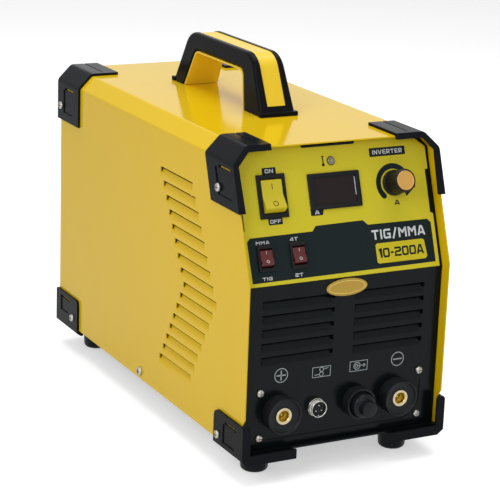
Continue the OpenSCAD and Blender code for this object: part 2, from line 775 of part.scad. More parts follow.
module handle_core() {
  inset = 0.6;
  skin_margin = 0.3;
  color("gold") in_body() translate([0, 0, body_height]) difference() {
    union() {
      across(-core_half, core_half) difference() {
        handle_outline(inset);
        finger_outline();
        translate([handle_front - 1, -1])
          square([1 + tongue_depth + edge_gap, 1 + tongue_rise + seat_gap]);
      }
      intersection() {
        across(-grip_foot_half, grip_foot_half) difference() {
          finger_outline(finger_skin);
          finger_outline();
        }
        grip_section(skin_margin);
      }
    }
    for (y = handle_screw_ys) translate([0, y, -1]) cylinder(r = 2.1, h = 20, $fn = 24);
  }
}

// Left grip half: its outer face leans inwards and rounds over at the top.
module handle_side() {
  color([0.07, 0.07, 0.07]) in_body() translate([0, 0, body_height]) intersection() {
    across(-grip_foot_half, -core_half - seat_gap) difference() {
      handle_outline();
      finger_outline(finger_skin + seat_gap);
    }
    grip_section();
  }
}

module handle_side_left() { handle_side(); }
module handle_side_right() { mirror([1, 0, 0]) handle_side(); }

// Moulded rims outside the feet of the handle's legs, and the tongue that closes the front leg.
module handle_boots() {
  rim = 1.9;
  rise = 2.6;
  corner = 4;
  inner_end = 1.5;
  wall = grip_foot_half + seat_gap;
  module rim_plate(outside, inside) {
    translate([0, 0, seat_gap]) linear_extrude(rise) polygon(rounded([
      [-wall - rim, outside, corner], [-wall - rim, inside, 0], [wall + rim, inside, 0], [wall + rim, outside, corner]]));
  }
  color([0.07, 0.07, 0.07]) in_body() translate([0, 0, body_height]) {
    difference() {
      rim_plate(handle_front - rim, handle_front + front_leg + inner_end);
      box([-wall, handle_front - 2 * seat_gap, -1], [wall, handle_front + front_leg + 2 * inner_end, rise + 1]);
    }
    box([-core_half, handle_front - rim, seat_gap], [core_half, handle_front + tongue_depth, seat_gap + rise]);
    across(-core_half, core_half) intersection() {
      handle_outline();
      translate([handle_front - 1, seat_gap]) square([1 + tongue_depth, tongue_rise - seat_gap]);
    }
    difference() {
      rim_plate(handle_rear + rim, handle_rear - rear_leg - inner_end);
      box([-wall, handle_rear - rear_leg - 2 * inner_end, -1], [wall, handle_rear + seat_gap, rise + 1]);
    }
  }
}

module handle_screws() {
  color([0.6, 0.6, 0.62]) in_body() for (y = handle_screw_ys)
    translate([0, y, body_height - cover_sheet - seat_gap]) rotate([90, 0, 0]) pan_screw(4.6, 2, 16);
}

/* ---- Controls ---- */

face_seat = decal_sheet + 2 * seat_gap;
bezel_rise = 2;
pivot_in = 1.5;
pivot_radius = 1.2;
face_peak = face_seat + bezel_rise + 0.2;

// Block with four bevelled edges on its front, from the plane y = back to y = -front.
module bevelled_block(width, height, back, front, bevel) {
  intersection() {
    across(-width / 2, width / 2) polygon([[back, -height / 2], [-front + bevel, -height / 2],
      [-front, -height / 2 + bevel], [-front, height / 2 - bevel], [-front + bevel, height / 2], [back, height / 2]]);
    translate([0, 0, -height / 2]) linear_extrude(height) polygon([[-width / 2, back], [-width / 2, -front + bevel],
      [-width / 2 + bevel, -front], [width / 2 - bevel, -front], [width / 2, -front + bevel], [width / 2, back]]);
  }
}

module switch_body(s) {
  at_lean() translate([s[0][0], 0, s[0][1]]) {
    difference() {
      union() {
        bevelled_block(s[1], s[2], -face_seat, face_seat + bezel_rise, 0.6);
        box([-housing_width(s) / 2, -face_seat - eps, -housing_height(s) / 2],
          [housing_width(s) / 2, s[5], housing_height(s) / 2]);
      }
      box([-opening_width(s) / 2, -10, -opening_height(s) / 2],
        [opening_width(s) / 2, s[5] - 2, opening_height(s) / 2]);
      translate([-housing_width(s), pivot_in, 0]) rotate([0, 90, 0])
        cylinder(r = pivot_radius + running_gap, h = 2 * housing_width(s), $fn = 32);
    }
    for (x = [-1, 1], z = [-1, 1])
      translate([x * housing_width(s) / 4 - 0.4, s[5] - eps, z * housing_height(s) / 4 - 2.4]) cube([0.8, 7, 4.8]);
  }
}

// Rocker with a shallow V face, tilted so that its upper half is pressed in.
module rocker(s) {
  width = opening_width(s) - 2 * rocker_gap;
  radius = opening_height(s) / 2 - rocker_gap;
  pin_length = s[4] + rocker_gap - 0.2;
  depth = radius * 0.6;
  at_lean() translate([s[0][0], pivot_in, s[0][1]]) rotate([-rocker_tilt, 0, 0]) {
    peak = pivot_in + face_peak;
    intersection() {
      rotate([0, 90, 0]) cylinder(r = radius, h = width, center = true, $fn = 96);
      across(-width / 2, width / 2) polygon([[-peak, 0], [-peak - 2 * radius * tan(rocker_tilt), 2 * radius],
        [depth, 2 * radius], [depth, -2 * radius], [-peak - 2 * radius * tan(rocker_tilt), -2 * radius]]);
    }
    rotate([0, 90, 0]) cylinder(r = pivot_radius, h = width + 2 * pin_length, center = true, $fn = 32);
  }
}

module main_switch_body() { color([0.06, 0.06, 0.06]) switch_body(main_switch); }
module main_rocker() { color([0.93, 0.8, 0.05]) rocker(main_switch); }
module process_switch_body() { color([0.06, 0.06, 0.06]) switch_body(process_switch); }
module process_rocker() { color([0.75, 0.1, 0.08]) rocker(process_switch); }
module trigger_switch_body() { color([0.06, 0.06, 0.06]) switch_body(trigger_switch); }
module trigger_rocker() { color([0.75, 0.1, 0.08]) rocker(trigger_switch); }

lens_depth = 2.2;

module meter_lens() {
  color([0.2, 0.03, 0.03]) at_lean() translate([meter_at[0], 0, meter_at[1]])
    bevelled_block(meter_width, meter_height, -face_seat - 0.3 + lens_depth, face_seat + 0.3, 0.3);
}

module meter_module() {
  digits = 3;
  digit_width = 12.6;
  digit_height = 19;
  front = lens_depth - face_seat;
  color([0.75, 0.75, 0.72]) at_lean() translate([meter_at[0], 0, meter_at[1]]) difference() {
    union() {
      box([-meter_width / 2 + 1, front + 1, -meter_height / 2 + 1], [meter_width / 2 - 1, front + 9, meter_height / 2 - 1]);
      for (x = [-1, 1], z = [-1, 1])
        translate([x * (meter_width / 2 - 5), front + 9 - eps, z * (meter_height / 2 - 5)]) rod(2, 22 - front - 9.3, 24);
    }
    for (i = [0:digits - 1])
      translate([(i - (digits - 1) / 2) * digit_width - digit_width / 2 + 0.8, front, -digit_height / 2])
        cube([digit_width - 1.6, 1.6, digit_height]);
  }
}

module overheat_led() {
  flange = 3.1;
  color([0.85, 0.8, 0.3]) at_lean() translate([led_at[0], 0, led_at[1]]) rotate([90, 0, 0])
    rotate_extrude($fn = fine) polygon(concat(
      [[0, -12], [led_radius - 0.1, -12], [led_radius - 0.1, face_seat],
        [flange, face_seat], [flange, face_seat + 0.8], [flange - 0.5, face_seat + 1]],
      arc(0, face_seat + 1, led_radius - 0.5, 0, 90, 6)));
}

module at_knob() { at_lean() translate([knob_at[0], 0, knob_at[1]]) children(); }

module potentiometer() {
  body_radius = 8.5;
  bush_front = 1.2;
  color([0.5, 0.5, 0.52]) at_knob() difference() {
    union() {
      translate([0, pan_sheet + seat_gap, 0]) rod(body_radius, 9);
      translate([0, -face_seat - bush_front, 0]) rod(pot_bush_radius, pan_sheet + face_seat + bush_front + 1);
      translate([-6, pan_sheet + 5, -14]) cube([12, 2, 8]);
    }
    translate([0, -5, 0]) rod(pot_shaft_radius + running_gap, pan_sheet + seat_gap + 12);
  }
}

module pot_shaft() {
  reach = 13;
  flat_depth = 1.4;
  color([0.7, 0.7, 0.72]) at_knob() difference() {
    translate([0, -reach, 0]) rod(pot_shaft_radius, reach + pan_sheet + 5);
    box([-5, -reach - 1, pot_shaft_radius - flat_depth], [5, -5, 5]);
  }
}

knob_back = 0.5;

module current_knob() {
  skirt = 3;
  flute_count = 18;
  flute = 0.9;
  flat_depth = 1.4;
  crown = 4;
  color([0.1, 0.1, 0.11]) at_knob() difference() {
    translate([0, -face_seat - knob_back, 0]) rotate([90, 0, 0]) rotate_extrude($fn = 96) polygon([
      [0, 0], [knob_radius, 0], [knob_radius, skirt - 0.6], [knob_radius - 0.6, skirt],
      [knob_cap_radius + 0.7, skirt + 0.4], [knob_cap_radius + 0.4, knob_height - face_seat - knob_back - 0.8],
      [knob_cap_radius - 0.4, knob_height - face_seat - knob_back], [0, knob_height - face_seat - knob_back]]);
    for (i = [0:flute_count - 1]) rotate([0, i * 360 / flute_count, 0])
      translate([0, -knob_height - 1, knob_cap_radius + flute * 1.35]) rod(flute, knob_height - skirt - face_seat - 0.8, 16);
    translate([0, -knob_height - 1, 0]) rod(knob_cap_radius - 0.8, crown + 1);
    difference() {
      translate([0, -14, 0]) rod(pot_shaft_radius + 0.02, 14);
      box([-5, -14, pot_shaft_radius - flat_depth + 0.02], [5, -6, 5]);
    }
    translate([0, -5.5, 0]) rod(pot_bush_radius + 0.5, 6);
  }
}

module knob_cap() {
  crown = 4;
  dome = 0.6;
  color([0.72, 0.3, 0.1]) at_knob() translate([0, -knob_height + crown - 0.1, 0]) rotate([90, 0, 0])
    rotate_extrude($fn = 96) polygon([[0, 0], [knob_cap_radius - 0.9, 0], [knob_cap_radius - 0.9, crown - 0.4],
      [knob_cap_radius - 1.5, crown + 0.1], [knob_cap_radius - 2.2, crown - 0.3], [0, crown - 0.1 - dome * 0.5]]);
}

function ellipse(a, b, steps = 72) = [for (i = [0:steps - 1]) [a * cos(i * 360 / steps), b * sin(i * 360 / steps)]];

module oval_badge() {
  badge_half_width = 18.3;
  badge_half_height = 7;
  badge_height = 126.3;
  badge_thick = 1;
  rim = 1.1;
  color([0.8, 0.66, 0.1]) at_front() translate([0.6, -seat_gap, badge_height]) rotate([90, 0, 0]) difference() {
    linear_extrude(badge_thick) polygon(ellipse(badge_half_width, badge_half_height));
    translate([0, 0, badge_thick - 0.3]) linear_extrude(1)
      polygon(ellipse(badge_half_width - rim, badge_half_height - rim));
  }
}

/* ---- Outputs ---- */

hub_radius = 8.4;
contact_front = barrel_reach - 0.8;
contact_rear = 26;
nut_seat = 14;

module at_output(x) { at_front() translate([x, 0, socket_row]) children(); }

// Insulating shell of a twist-lock socket, with its guard ring and its inner sleeve.
module socket_shell() {
  ring_wall = 1.9;
  floor_in = 2.5;
  difference() {
    union() {
      translate([0, -barrel_reach, 0]) rod(barrel_radius, barrel_reach - seat_gap);
      rod(barrel_hole, nut_seat);
      translate([0, -seat_gap - eps, 0]) rod(barrel_hole, 1);
    }
    difference() {
      translate([0, -barrel_reach - 1, 0]) rod(barrel_radius - ring_wall, barrel_reach + 1 - floor_in);
      translate([0, -barrel_reach + 1, 0]) rod(hub_radius, barrel_reach);
    }
    translate([0, -barrel_reach - 1, 0]) rod(contact_radius + 0.05, barrel_reach + nut_seat + 2);
  }
}

// Brass contact of a twist-lock socket, with its key slot, its shoulder and its stud.
module socket_contact() {
  bore_depth = 24;
  key_width = 3.2;
  key_height = 1.6;
  difference() {
    union() {
      translate([0, -contact_front, 0]) rod(contact_radius, contact_front + nut_seat + 1);
      translate([0, nut_seat + 0.2, 0]) rod(9, 3, 6);
      translate([0, nut_seat + 3, 0]) rod(4, contact_rear - nut_seat - 3);
    }
    translate([0, -contact_front - 1, 0]) rod(socket_bore, bore_depth + 1 - 2);
    box([-key_width / 2, -contact_front - 1, socket_bore - 1], [key_width / 2, 4, socket_bore + key_height]);
  }
}

module plus_socket_shell() { color([0.06, 0.06, 0.06]) at_output(plus_x) socket_shell(); }
module plus_socket_contact() { color([0.85, 0.7, 0.35]) at_output(plus_x) socket_contact(); }
module minus_socket_shell() { color([0.06, 0.06, 0.06]) at_output(minus_x) socket_shell(); }
module minus_socket_contact() { color([0.85, 0.7, 0.35]) at_output(minus_x) socket_contact(); }

control_reach = 6.5;
insert_radius = 5.2;

module control_socket_shell() {
  thread_length = 9;
  color([0.75, 0.76, 0.77]) at_output(control_x) difference() {
    union() {
      translate([0, -control_reach, 0]) rod(control_hole, control_reach + thread_length);
      translate([0, -2.2, 0]) rod(control_ring_radius + 0.6, 2.2 - seat_gap);
      translate([0, -control_reach, 0]) rod(control_ring_radius, 2.6);
      translate([0, pan_sheet + seat_gap, 0]) rod(8, 2.4, 6);
    }
    translate([0, -control_reach - 1, 0]) rod(insert_radius, control_reach + thread_length + 2);
  }
}

module control_socket_insert() {
  pins = 5;
  pin_circle = 3;
  color([0.08, 0.08, 0.08]) at_output(control_x) {
    translate([0, -control_reach + 3.4, 0]) rod(insert_radius - 0.05, 10);
    for (i = [0:pins - 1]) rotate([0, i * 360 / pins, 0]) translate([0, -control_reach + 0.8, pin_circle])
      rod(0.6, 18, 16);
  }
}

collar_radius = 12.9;
collar_reach = 10;
torch_cap_radius = 10.7;
spigot_radius = 4.5;

module torch_port_body() {
  floor_in = 2.6;
  color([0.07, 0.07, 0.07]) at_output(torch_x) difference() {
    union() {
      translate([0, -collar_reach, 0]) rod(collar_radius, collar_reach - seat_gap);
      translate([0, -seat_gap - eps, 0]) rod(torch_hole, pan_sheet + 8);
    }
    translate([0, -collar_reach - 1, 0]) rod(torch_cap_radius + running_gap, collar_reach + 1 - floor_in);
    translate([0, -collar_reach - 1, 0]) rod(spigot_radius + 0.05, collar_reach + 12);
  }
}

module torch_port_spigot() {
  reach = 17;
  color([0.85, 0.7, 0.35]) at_output(torch_x) difference() {
    union() {
      translate([0, -reach, 0]) rod(spigot_radius, reach + 12);
      translate([0, pan_sheet + 8, 0]) rod(8.4, 4, 6);
      translate([0, 12, 0]) rod(hose_radius - hose_wall - 0.05, 14);
    }
    translate([0, -reach - 1, 0]) rod(1.6, reach + 28, 32);
  }
}

module torch_port_cap() {
  skirt_in = 2.9;
  flat_end = 5.7;
  shoulder = 17;
  color([0.05, 0.05, 0.05]) at_output(torch_x) difference() {
    rotate([90, 0, 0]) rotate_extrude($fn = 96) polygon(concat(
      [[0, skirt_in], [torch_cap_radius, skirt_in]],
      arc(torch_cap_radius - 2.4, shoulder - 1.5, 2.4, 0, 62, 5),
      [[flat_end + 0.5, torch_cap_reach - 0.3], [flat_end, torch_cap_reach], [0, torch_cap_reach]]));
    translate([0, -19, 0]) rod(spigot_radius + running_gap, 19);
  }
}

/* ---- Rear fittings ---- */

guard_wire = 0.9;
fan_pin = 2;
fan_back = pan_sheet + seat_gap;

module at_fan() { at_rear() translate([0, 0, fan_axis_height]) children(); }

module fan_frame() {
  duct = fan_size / 2 - 2.6;
  corner = 6;
  motor = 20;
  strut = 4;
  spider_depth = 5;
  strut_inset = 0.4;
  color([0.07, 0.07, 0.07]) at_fan() translate([0, -fan_back - fan_depth, 0]) difference() {
    union() {
      difference() {
        along_body(0, fan_depth) polygon(rounded([
          [-fan_size / 2, -fan_size / 2, corner], [fan_size / 2, -fan_size / 2, corner],
          [fan_size / 2, fan_size / 2, corner], [-fan_size / 2, fan_size / 2, corner]]));
        translate([0, -1, 0]) rod(duct, fan_depth + 2, 96);
      }
      rod(motor, spider_depth);
      for (i = [0:3]) rotate([0, 45 + i * 90, 0])
        box([motor - 2, strut_inset, -strut / 2], [duct + 2, spider_depth - strut_inset, strut / 2]);
    }
    translate([0, -1, 0]) rod(fan_pin + running_gap, spider_depth + 2, 32);
    for (x = [-1, 1], z = [-1, 1])
      translate([x * fan_screw_half, -1, z * fan_screw_half]) rod(fan_screw_hole, fan_depth + 2, 24);
  }
}

module fan_rotor() {
  hub = 20;
  blades = 7;
  blade_reach = fan_size / 2 - 5;
  blade_thick = 1.6;
  blade_chord = 26;
  pitch = 38;
  front = 5.6;
  depth = 16;
  color([0.12, 0.12, 0.13]) at_fan() translate([0, -fan_back - fan_depth, 0]) {
    translate([0, front, 0]) difference() {
      rod(hub, depth);
      translate([0, -1, 0]) rod(hub - 2, depth - 1);
    }
    translate([0, 0.4, 0]) rod(fan_pin, front + depth - 1, 32);
    intersection() {
      translate([0, front, 0]) tube(blade_reach, hub - 0.5, depth);
      for (i = [0:blades - 1]) rotate([0, i * 360 / blades, 0]) translate([0, front + depth / 2, 0])
        rotate([pitch, 0, 0]) translate([hub - 3, -blade_thick / 2, -blade_chord])
          cube([blade_reach, blade_thick, 2 * blade_chord]);
    }
  }
}

module fan_guard() {
  rings = [20, 32, 44, 56];
  eye = 4.4;
  color([0.75, 0.76, 0.77]) at_fan() translate([0, guard_wire + seat_gap, 0]) difference() {
    union() {
      for (r = rings) rotate([90, 0, 0]) rotate_extrude($fn = 96) translate([r, 0]) circle(r = guard_wire, $fn = 16);
      for (i = [0:3]) rotate([0, 45 + i * 90, 0]) translate([rings[0], 0, 0]) rotate([0, 90, 0])
        cylinder(r = guard_wire * 0.9, h = norm([fan_screw_half, fan_screw_half]) - rings[0] - 2.6, $fn = 16);
      for (x = [-1, 1], z = [-1, 1])
        translate([x * fan_screw_half, -guard_wire, z * fan_screw_half]) rod(eye, 2 * guard_wire, 32);
    }
    for (x = [-1, 1], z = [-1, 1])
      translate([x * fan_screw_half, -3, z * fan_screw_half]) rod(fan_screw_hole, 6, 24);
  }
}

module mains_gland() {
  cable_hole = 5;
  color([0.08, 0.08, 0.08]) at_rear() translate([gland_x, 0, gland_height]) {
    difference() {
      union() {
        translate([0, -10, 0]) rod(gland_radius, 10 + 2 * seat_gap);
        translate([0, seat_gap, 0]) rod(13, 6, 6);
        translate([0, 5, 0]) rod(11, 3);
        translate([0, 7, 0]) rod(12.4, 10, 6);
        rotate([-90, 0, 0]) rotate_extrude($fn = fine) polygon(concat(
          [[0, 16], [10.6, 16]], arc(10.6 - 4, gland_reach - 4, 4, 0, 90, 5), [[0, gland_reach]]));
        translate([0, -pan_sheet - 5 - seat_gap, 0]) rod(13, 5, 6);
      }
      translate([0, -12, 0]) rod(cable_hole, gland_reach + 14);
    }
  }
}

hose_wall = 1.5;
valve_length = 35;
valve_front = rear_panel_y - valve_length;
hose_x = 78;
hose_bend = 15;
hose_cross_y = 60;

module gas_inlet() {
  tip = 16;
  barb = 4.6;
  color([0.85, 0.7, 0.35]) at_rear() translate([inlet_x, 0, inlet_height]) difference() {
    union() {
      translate([0, -4, 0]) rod(inlet_radius, 5);
      translate([0, seat_gap, 0]) rod(8.5, 5, 6);
      rotate([-90, 0, 0]) rotate_extrude($fn = fine) polygon([[0, 5], [3.6, 5], [3.6, 7.6],
        [barb, 7.6], [3.6, 11.4], [barb, 11.4], [3.3, tip], [0, tip]]);
    }
    translate([0, -5, 0]) rod(2, tip + 6, 32);
  }
}

module earth_stud() {
  shank = earth_radius - 0.05;
  nut = 4;
  nut_flats = 10;
  neck = 0.5;
  free_end = 9.5;
  color([0.85, 0.7, 0.35]) at_rear() translate([earth_x, 0, earth_height]) {
    translate([0, -8, 0]) rod(shank, 8 + seat_gap + nut - eps, fine);
    translate([0, seat_gap + nut - 2 * eps, 0]) rod(shank - 0.4, neck + 3 * eps, fine);
    translate([0, seat_gap + nut + neck, 0]) rod(shank - 0.15, free_end, fine);
    translate([0, seat_gap, 0]) hex_nut(nut_flats, nut, shank - 0.3);
    translate([0, -pan_sheet - nut - seat_gap, 0]) hex_nut(nut_flats, nut, shank - 0.3);
  }
}

module gas_valve() {
  size = 22;
  rear = rear_panel_y - pan_sheet - 2.6;
  color([0.55, 0.56, 0.58]) in_body() difference() {
    union() {
      box([inlet_x - size / 2, valve_front + 8, inlet_height - size / 2], [inlet_x + size / 2, rear, inlet_height + size / 2]);
      translate([inlet_x, valve_front + 20, inlet_height + size / 2 - eps]) cylinder(r = 9, h = 24, $fn = fine);
      translate([hose_x - 3, valve_front, inlet_height]) rod(hose_radius - hose_wall - 0.05, 12, 32);
    }
    translate([inlet_x, rear - 6, inlet_height]) rod(inlet_radius - 2.6, 8, 32);
  }
}

// Hose from the valve along the right wall, across behind the sockets and into the torch port.
module gas_hose() {
  lane = hose_x - 3;
  inner = hose_radius - hose_wall;
  port = panel_recess + 14;
  module ring() { translate([hose_bend, 0]) difference() { circle(r = hose_radius, $fn = 32); circle(r = inner, $fn = 32); } }
  color([0.1, 0.1, 0.1]) in_body() translate([0, 0, inlet_height]) {
    translate([lane, hose_cross_y + hose_bend, 0])
      tube(hose_radius, inner, valve_front + 7 - hose_cross_y - hose_bend);
    translate([lane - hose_bend, hose_cross_y + hose_bend, 0]) rotate([0, 0, -90]) rotate_extrude(angle = 90, $fn = fine) ring();
    translate([torch_x + hose_bend, hose_cross_y, 0]) rotate([0, 0, -90])
      tube(hose_radius, inner, lane - torch_x - 2 * hose_bend);
    translate([torch_x + hose_bend, hose_cross_y - hose_bend, 0]) rotate([0, 0, 90]) rotate_extrude(angle = 90, $fn = fine) ring();
    translate([torch_x, port, 0]) tube(hose_radius, inner, hose_cross_y - hose_bend - port);
  }
}

/* ---- Inside ---- */

board_front_room = 75;
fan_room = 13.5;
board_front = panel_recess + board_front_room;
board_rear = rear_panel_y - pan_sheet - fan_depth - fan_room;
board_half = 79;
board_thick = 1.6;
sink_top = board_height - 5;
sink_front = board_front + 12;
sink_rear = board_rear - 66;

module heat_sinks() {
  width = 62;
  base = 8;
  fin = 2;
  fins = 9;
  front = sink_front;
  rear = sink_rear;
  fin_low = 12;
  gap = 4;
  pitch = (width - fin) / (fins - 1);
  color([0.75, 0.76, 0.77]) in_body() both_sides() translate([gap, 0, 0]) {
    box([0, front, sink_top - base], [width, rear, sink_top]);
    for (i = [0:fins - 1]) {
      low = i == 0 || i == fins - 1 ? pan_sheet + seat_gap : fin_low;
      box([i * pitch, front, low], [i * pitch + fin, rear, sink_top - base + eps]);
    }
  }
}

module power_board() {
  color([0.1, 0.35, 0.15]) in_body() {
    box([-board_half, board_front, board_height], [board_half, board_rear, board_height + board_thick]);
    for (x = [-56, -12, 12, 56], y = [sink_front + 14, sink_rear - 12])
      translate([x, y, sink_top + seat_gap]) cylinder(r = 3, h = board_height - sink_top, $fn = 24);
  }
}

module board_parts() {
  top = board_height + board_thick + seat_gap;
  can = 15;
  can_height = 46;
  can_row = board_rear - 36;
  bridge = [28, 34, 18];
  bridge_x = 52;
  bridge_row = board_rear - 96;
  filter = [30, 50, 22];
  relay = [24, 60, 26];
  relay_x = 46;
  filter_x = -70;
  front_row = board_front + 26;
  color([0.15, 0.15, 0.17]) in_body() translate([0, 0, top]) {
    for (x = [-48, -14, 20, 54]) translate([x, can_row, 0]) cylinder(r = can, h = can_height, $fn = fine);
    for (side = [-1, 1]) translate([side * bridge_x - bridge[0] / 2, bridge_row, 0]) cube(bridge);
    translate([filter_x, front_row, 0]) cube(filter);
    translate([relay_x, front_row, 0]) cube(relay);
  }
}

module main_transformer() {
  top = board_height + board_thick + seat_gap;
  width = 70;
  depth = 44;
  height = 58;
  leg = 11;
  coil = 13;
  middle = (board_front + board_rear) / 2 - 16;
  color([0.2, 0.2, 0.22]) in_body() translate([0, middle, top]) {
    difference() {
      box([-width / 2, -depth / 2, 0], [width / 2, depth / 2, height]);
      for (side = [-1, 1])
        translate([side * width / 4 - (width / 2 - 1.5 * leg) / 2, -depth, leg])
          cube([width / 2 - 1.5 * leg, 2 * depth, height - 2 * leg]);
    }
    for (side = [-1, 1])
      translate([0, side * (depth / 2 + coil / 2 - eps), height / 2]) rotate([90, 0, 0])
        linear_extrude(coil, center = true) square([width - 2 * leg - 2, height - 2 * leg - 2], center = true);
  }
}

module control_board() {
  low = 46 * up;
  high = 92 * up;
  left = -29;
  right = 80;
  back = 23;
  color([0.1, 0.35, 0.15]) at_lean() {
    box([left, back, low], [right, back + board_thick, high]);
    for (x = [left + 3, right - 4], z = [low + 4, high - 4])
      translate([x, pan_sheet + seat_gap, z]) rod(2.6, back - pan_sheet - seat_gap + eps, 24);
  }
}

module busbars() {
  width = 14;
  thick = 2;
  rise_y = panel_recess + nut_seat + 3.4;
  top = board_height + board_thick + seat_gap;
  color([0.72, 0.42, 0.25]) in_body() for (x = [plus_x, minus_x]) difference() {
    translate([x - width / 2, 0, 0]) {
      box([0, rise_y, socket_row - 9], [width, rise_y + thick, top + thick]);
      box([0, rise_y, top], [width, board_front + 18, top + thick]);
    }
    translate([x, rise_y - 1, socket_row]) rod(4.3, thick + 2, 32);
  }
}

base_pan();
top_cover();
front_panel();
rear_panel();
control_decal();
guard_top_front_left();
guard_top_front_right();
guard_top_rear_left();
guard_top_rear_right();
guard_low_front_left();
guard_low_front_right();
guard_low_rear_left();
guard_low_rear_right();
guard_screws();
cover_screws();
panel_screws();
feet();
foot_screws();
handle_core();
handle_side_left();
handle_side_right();
handle_boots();
handle_screws();
main_switch_body();
main_rocker();
process_switch_body();
process_rocker();
trigger_switch_body();
trigger_rocker();
meter_lens();
meter_module();
overheat_led();
potentiometer();
pot_shaft();
current_knob();
knob_cap();
oval_badge();
plus_socket_shell();
plus_socket_contact();
minus_socket_shell();
minus_socket_contact();
control_socket_shell();
control_socket_insert();
torch_port_body();
torch_port_spigot();
torch_port_cap();
fan_frame();
fan_rotor();
fan_guard();
mains_gland();
gas_inlet();
earth_stud();
gas_valve();
gas_hose();
heat_sinks();
power_board();
board_parts();
main_transformer();
control_board();
busbars();
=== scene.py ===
"""Inverter welding power source: finishes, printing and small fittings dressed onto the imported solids."""
import json
import math

import bmesh
import bpy
from mathutils import Matrix, Vector

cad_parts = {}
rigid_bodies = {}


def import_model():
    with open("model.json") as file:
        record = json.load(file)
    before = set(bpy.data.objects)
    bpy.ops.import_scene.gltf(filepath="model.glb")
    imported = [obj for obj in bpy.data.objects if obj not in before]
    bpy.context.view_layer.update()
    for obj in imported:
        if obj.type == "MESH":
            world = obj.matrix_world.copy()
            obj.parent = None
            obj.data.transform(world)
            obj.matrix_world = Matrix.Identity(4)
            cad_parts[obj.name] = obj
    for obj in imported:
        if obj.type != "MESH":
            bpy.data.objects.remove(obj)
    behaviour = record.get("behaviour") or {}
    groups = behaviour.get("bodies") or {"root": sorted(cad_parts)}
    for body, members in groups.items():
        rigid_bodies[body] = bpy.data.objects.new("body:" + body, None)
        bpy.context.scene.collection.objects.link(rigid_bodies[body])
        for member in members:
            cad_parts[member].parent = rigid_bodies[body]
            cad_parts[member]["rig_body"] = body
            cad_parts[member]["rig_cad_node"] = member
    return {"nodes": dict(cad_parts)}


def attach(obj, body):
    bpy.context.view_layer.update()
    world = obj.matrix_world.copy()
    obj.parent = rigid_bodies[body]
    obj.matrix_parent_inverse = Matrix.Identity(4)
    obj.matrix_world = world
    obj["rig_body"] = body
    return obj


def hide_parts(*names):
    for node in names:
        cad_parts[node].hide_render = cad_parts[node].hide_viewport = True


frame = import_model()
NODES = frame["nodes"]
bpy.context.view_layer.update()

MM = 0.001

# ---- Sizes that the solids share, in millimetres ----
FRONT_Y = -190.0          # foremost edge of the cover
PAN_Z = 24.0              # underside of the base pan above the floor
PANEL_IN = 9.0            # front panel behind the cover's edge
FOLD_UP = 134.0           # fold between the upright and the leaning panel
LEAN = math.atan2(35.5, 99.0)
FILM_OUT = 0.65           # face of the printed film in front of the panel
LENS_OUT = 1.1            # face of the meter's window in front of the panel
ROOF_Z = 261.0            # roof above the floor
ROOF_GAP = 0.3            # fit between the roof and what stands on it
GUARD_TOP = 263.55        # upper face of the top guards above the floor

# Middles on the leaning panel, across and up its slope from the fold.
KNOB = (52.6, 69.6)
METER = (-1.4, 68.4)
LAMP = (-1.3, 91.6)
MAIN_SWITCH = (-56.6, 68.3)
PROCESS_SWITCH = (-68.5, 21.5)
TRIGGER_SWITCH = (-40.0, 21.2)

# Middles on the upright panel, across and up from the base pan.
SOCKET_UP = 29.8
PLUS_X, CONTROL_X, TORCH_X, MINUS_X = -55.6, -22.4, 14.4, 50.4
BADGE = (0.6, 126.3)


def place_lean(x, out, up):
    """Matrix, in metres, that stands a flat drawing on the leaning panel: X across, Y up the slope, Z outwards."""
    turn = Matrix.Rotation(-LEAN, 4, "X") @ Matrix.Rotation(math.pi / 2, 4, "X")
    spot = Matrix.Rotation(-LEAN, 4, "X") @ Vector((x, -out, up, 1))
    base = Vector((0, FRONT_Y + PANEL_IN, PAN_Z + FOLD_UP))
    return Matrix.Translation((base + spot.to_3d()) * MM) @ turn


def place_front(x, out, up):
    """Matrix, in metres, that stands a flat drawing on the upright panel."""
    spot = Vector((x, FRONT_Y + PANEL_IN - out, PAN_Z + up)) * MM
    return Matrix.Translation(spot) @ Matrix.Rotation(math.pi / 2, 4, "X")


# ---- Shader groups ----
COLOUR, VALUE = "NodeSocketColor", "NodeSocketFloat"


def new_group(name, inputs, output, kind):
    """An empty group with its inputs as (label, kind, value) and its one output."""
    group = bpy.data.node_groups.new(name, "ShaderNodeTree")
    for label, input_kind, value in inputs:
        group.interface.new_socket(label, in_out="INPUT", socket_type=input_kind).default_value = value
    group.interface.new_socket(output, in_out="OUTPUT", socket_type=kind)
    return group, group.nodes.new("NodeGroupInput").outputs, group.nodes.new("NodeGroupOutput").inputs


def add_node(tree, kind, **settings):
    node = tree.nodes.new(kind)
    for key, value in settings.items():
        setattr(node, key, value)
    return node


def feed(tree, socket, term):
    """Sets a socket to a number, or links another node's output to it."""
    if isinstance(term, float):
        socket.default_value = term
    else:
        tree.links.new(term, socket)


def calculate(tree, operation, *terms, clamp=False):
    """Output of a math node."""
    node = add_node(tree, "ShaderNodeMath", operation=operation, use_clamp=clamp)
    for socket, term in zip(node.inputs, terms):
        feed(tree, socket, term)
    return node.outputs[0]


def object_texture(tree, kind, scale, output, stretch=None, **values):
    """Output of a texture over the object's own coordinates."""
    coords = add_node(tree, "ShaderNodeTexCoord").outputs["Object"]
    if stretch:
        mapping = add_node(tree, "ShaderNodeMapping")
        mapping.inputs["Scale"].default_value = stretch
        tree.links.new(coords, mapping.inputs["Vector"])
        coords = mapping.outputs["Vector"]
    texture = add_node(tree, kind)
    tree.links.new(coords, texture.inputs["Vector"])
    feed(tree, texture.inputs["Scale"], scale)
    for label, value in values.items():
        texture.inputs[label].default_value = value
    return texture.outputs[output]


def noise(tree, scale, detail, roughness, stretch=None):
    return object_texture(tree, "ShaderNodeTexNoise", scale, "Fac", stretch, Detail=detail, Roughness=roughness)


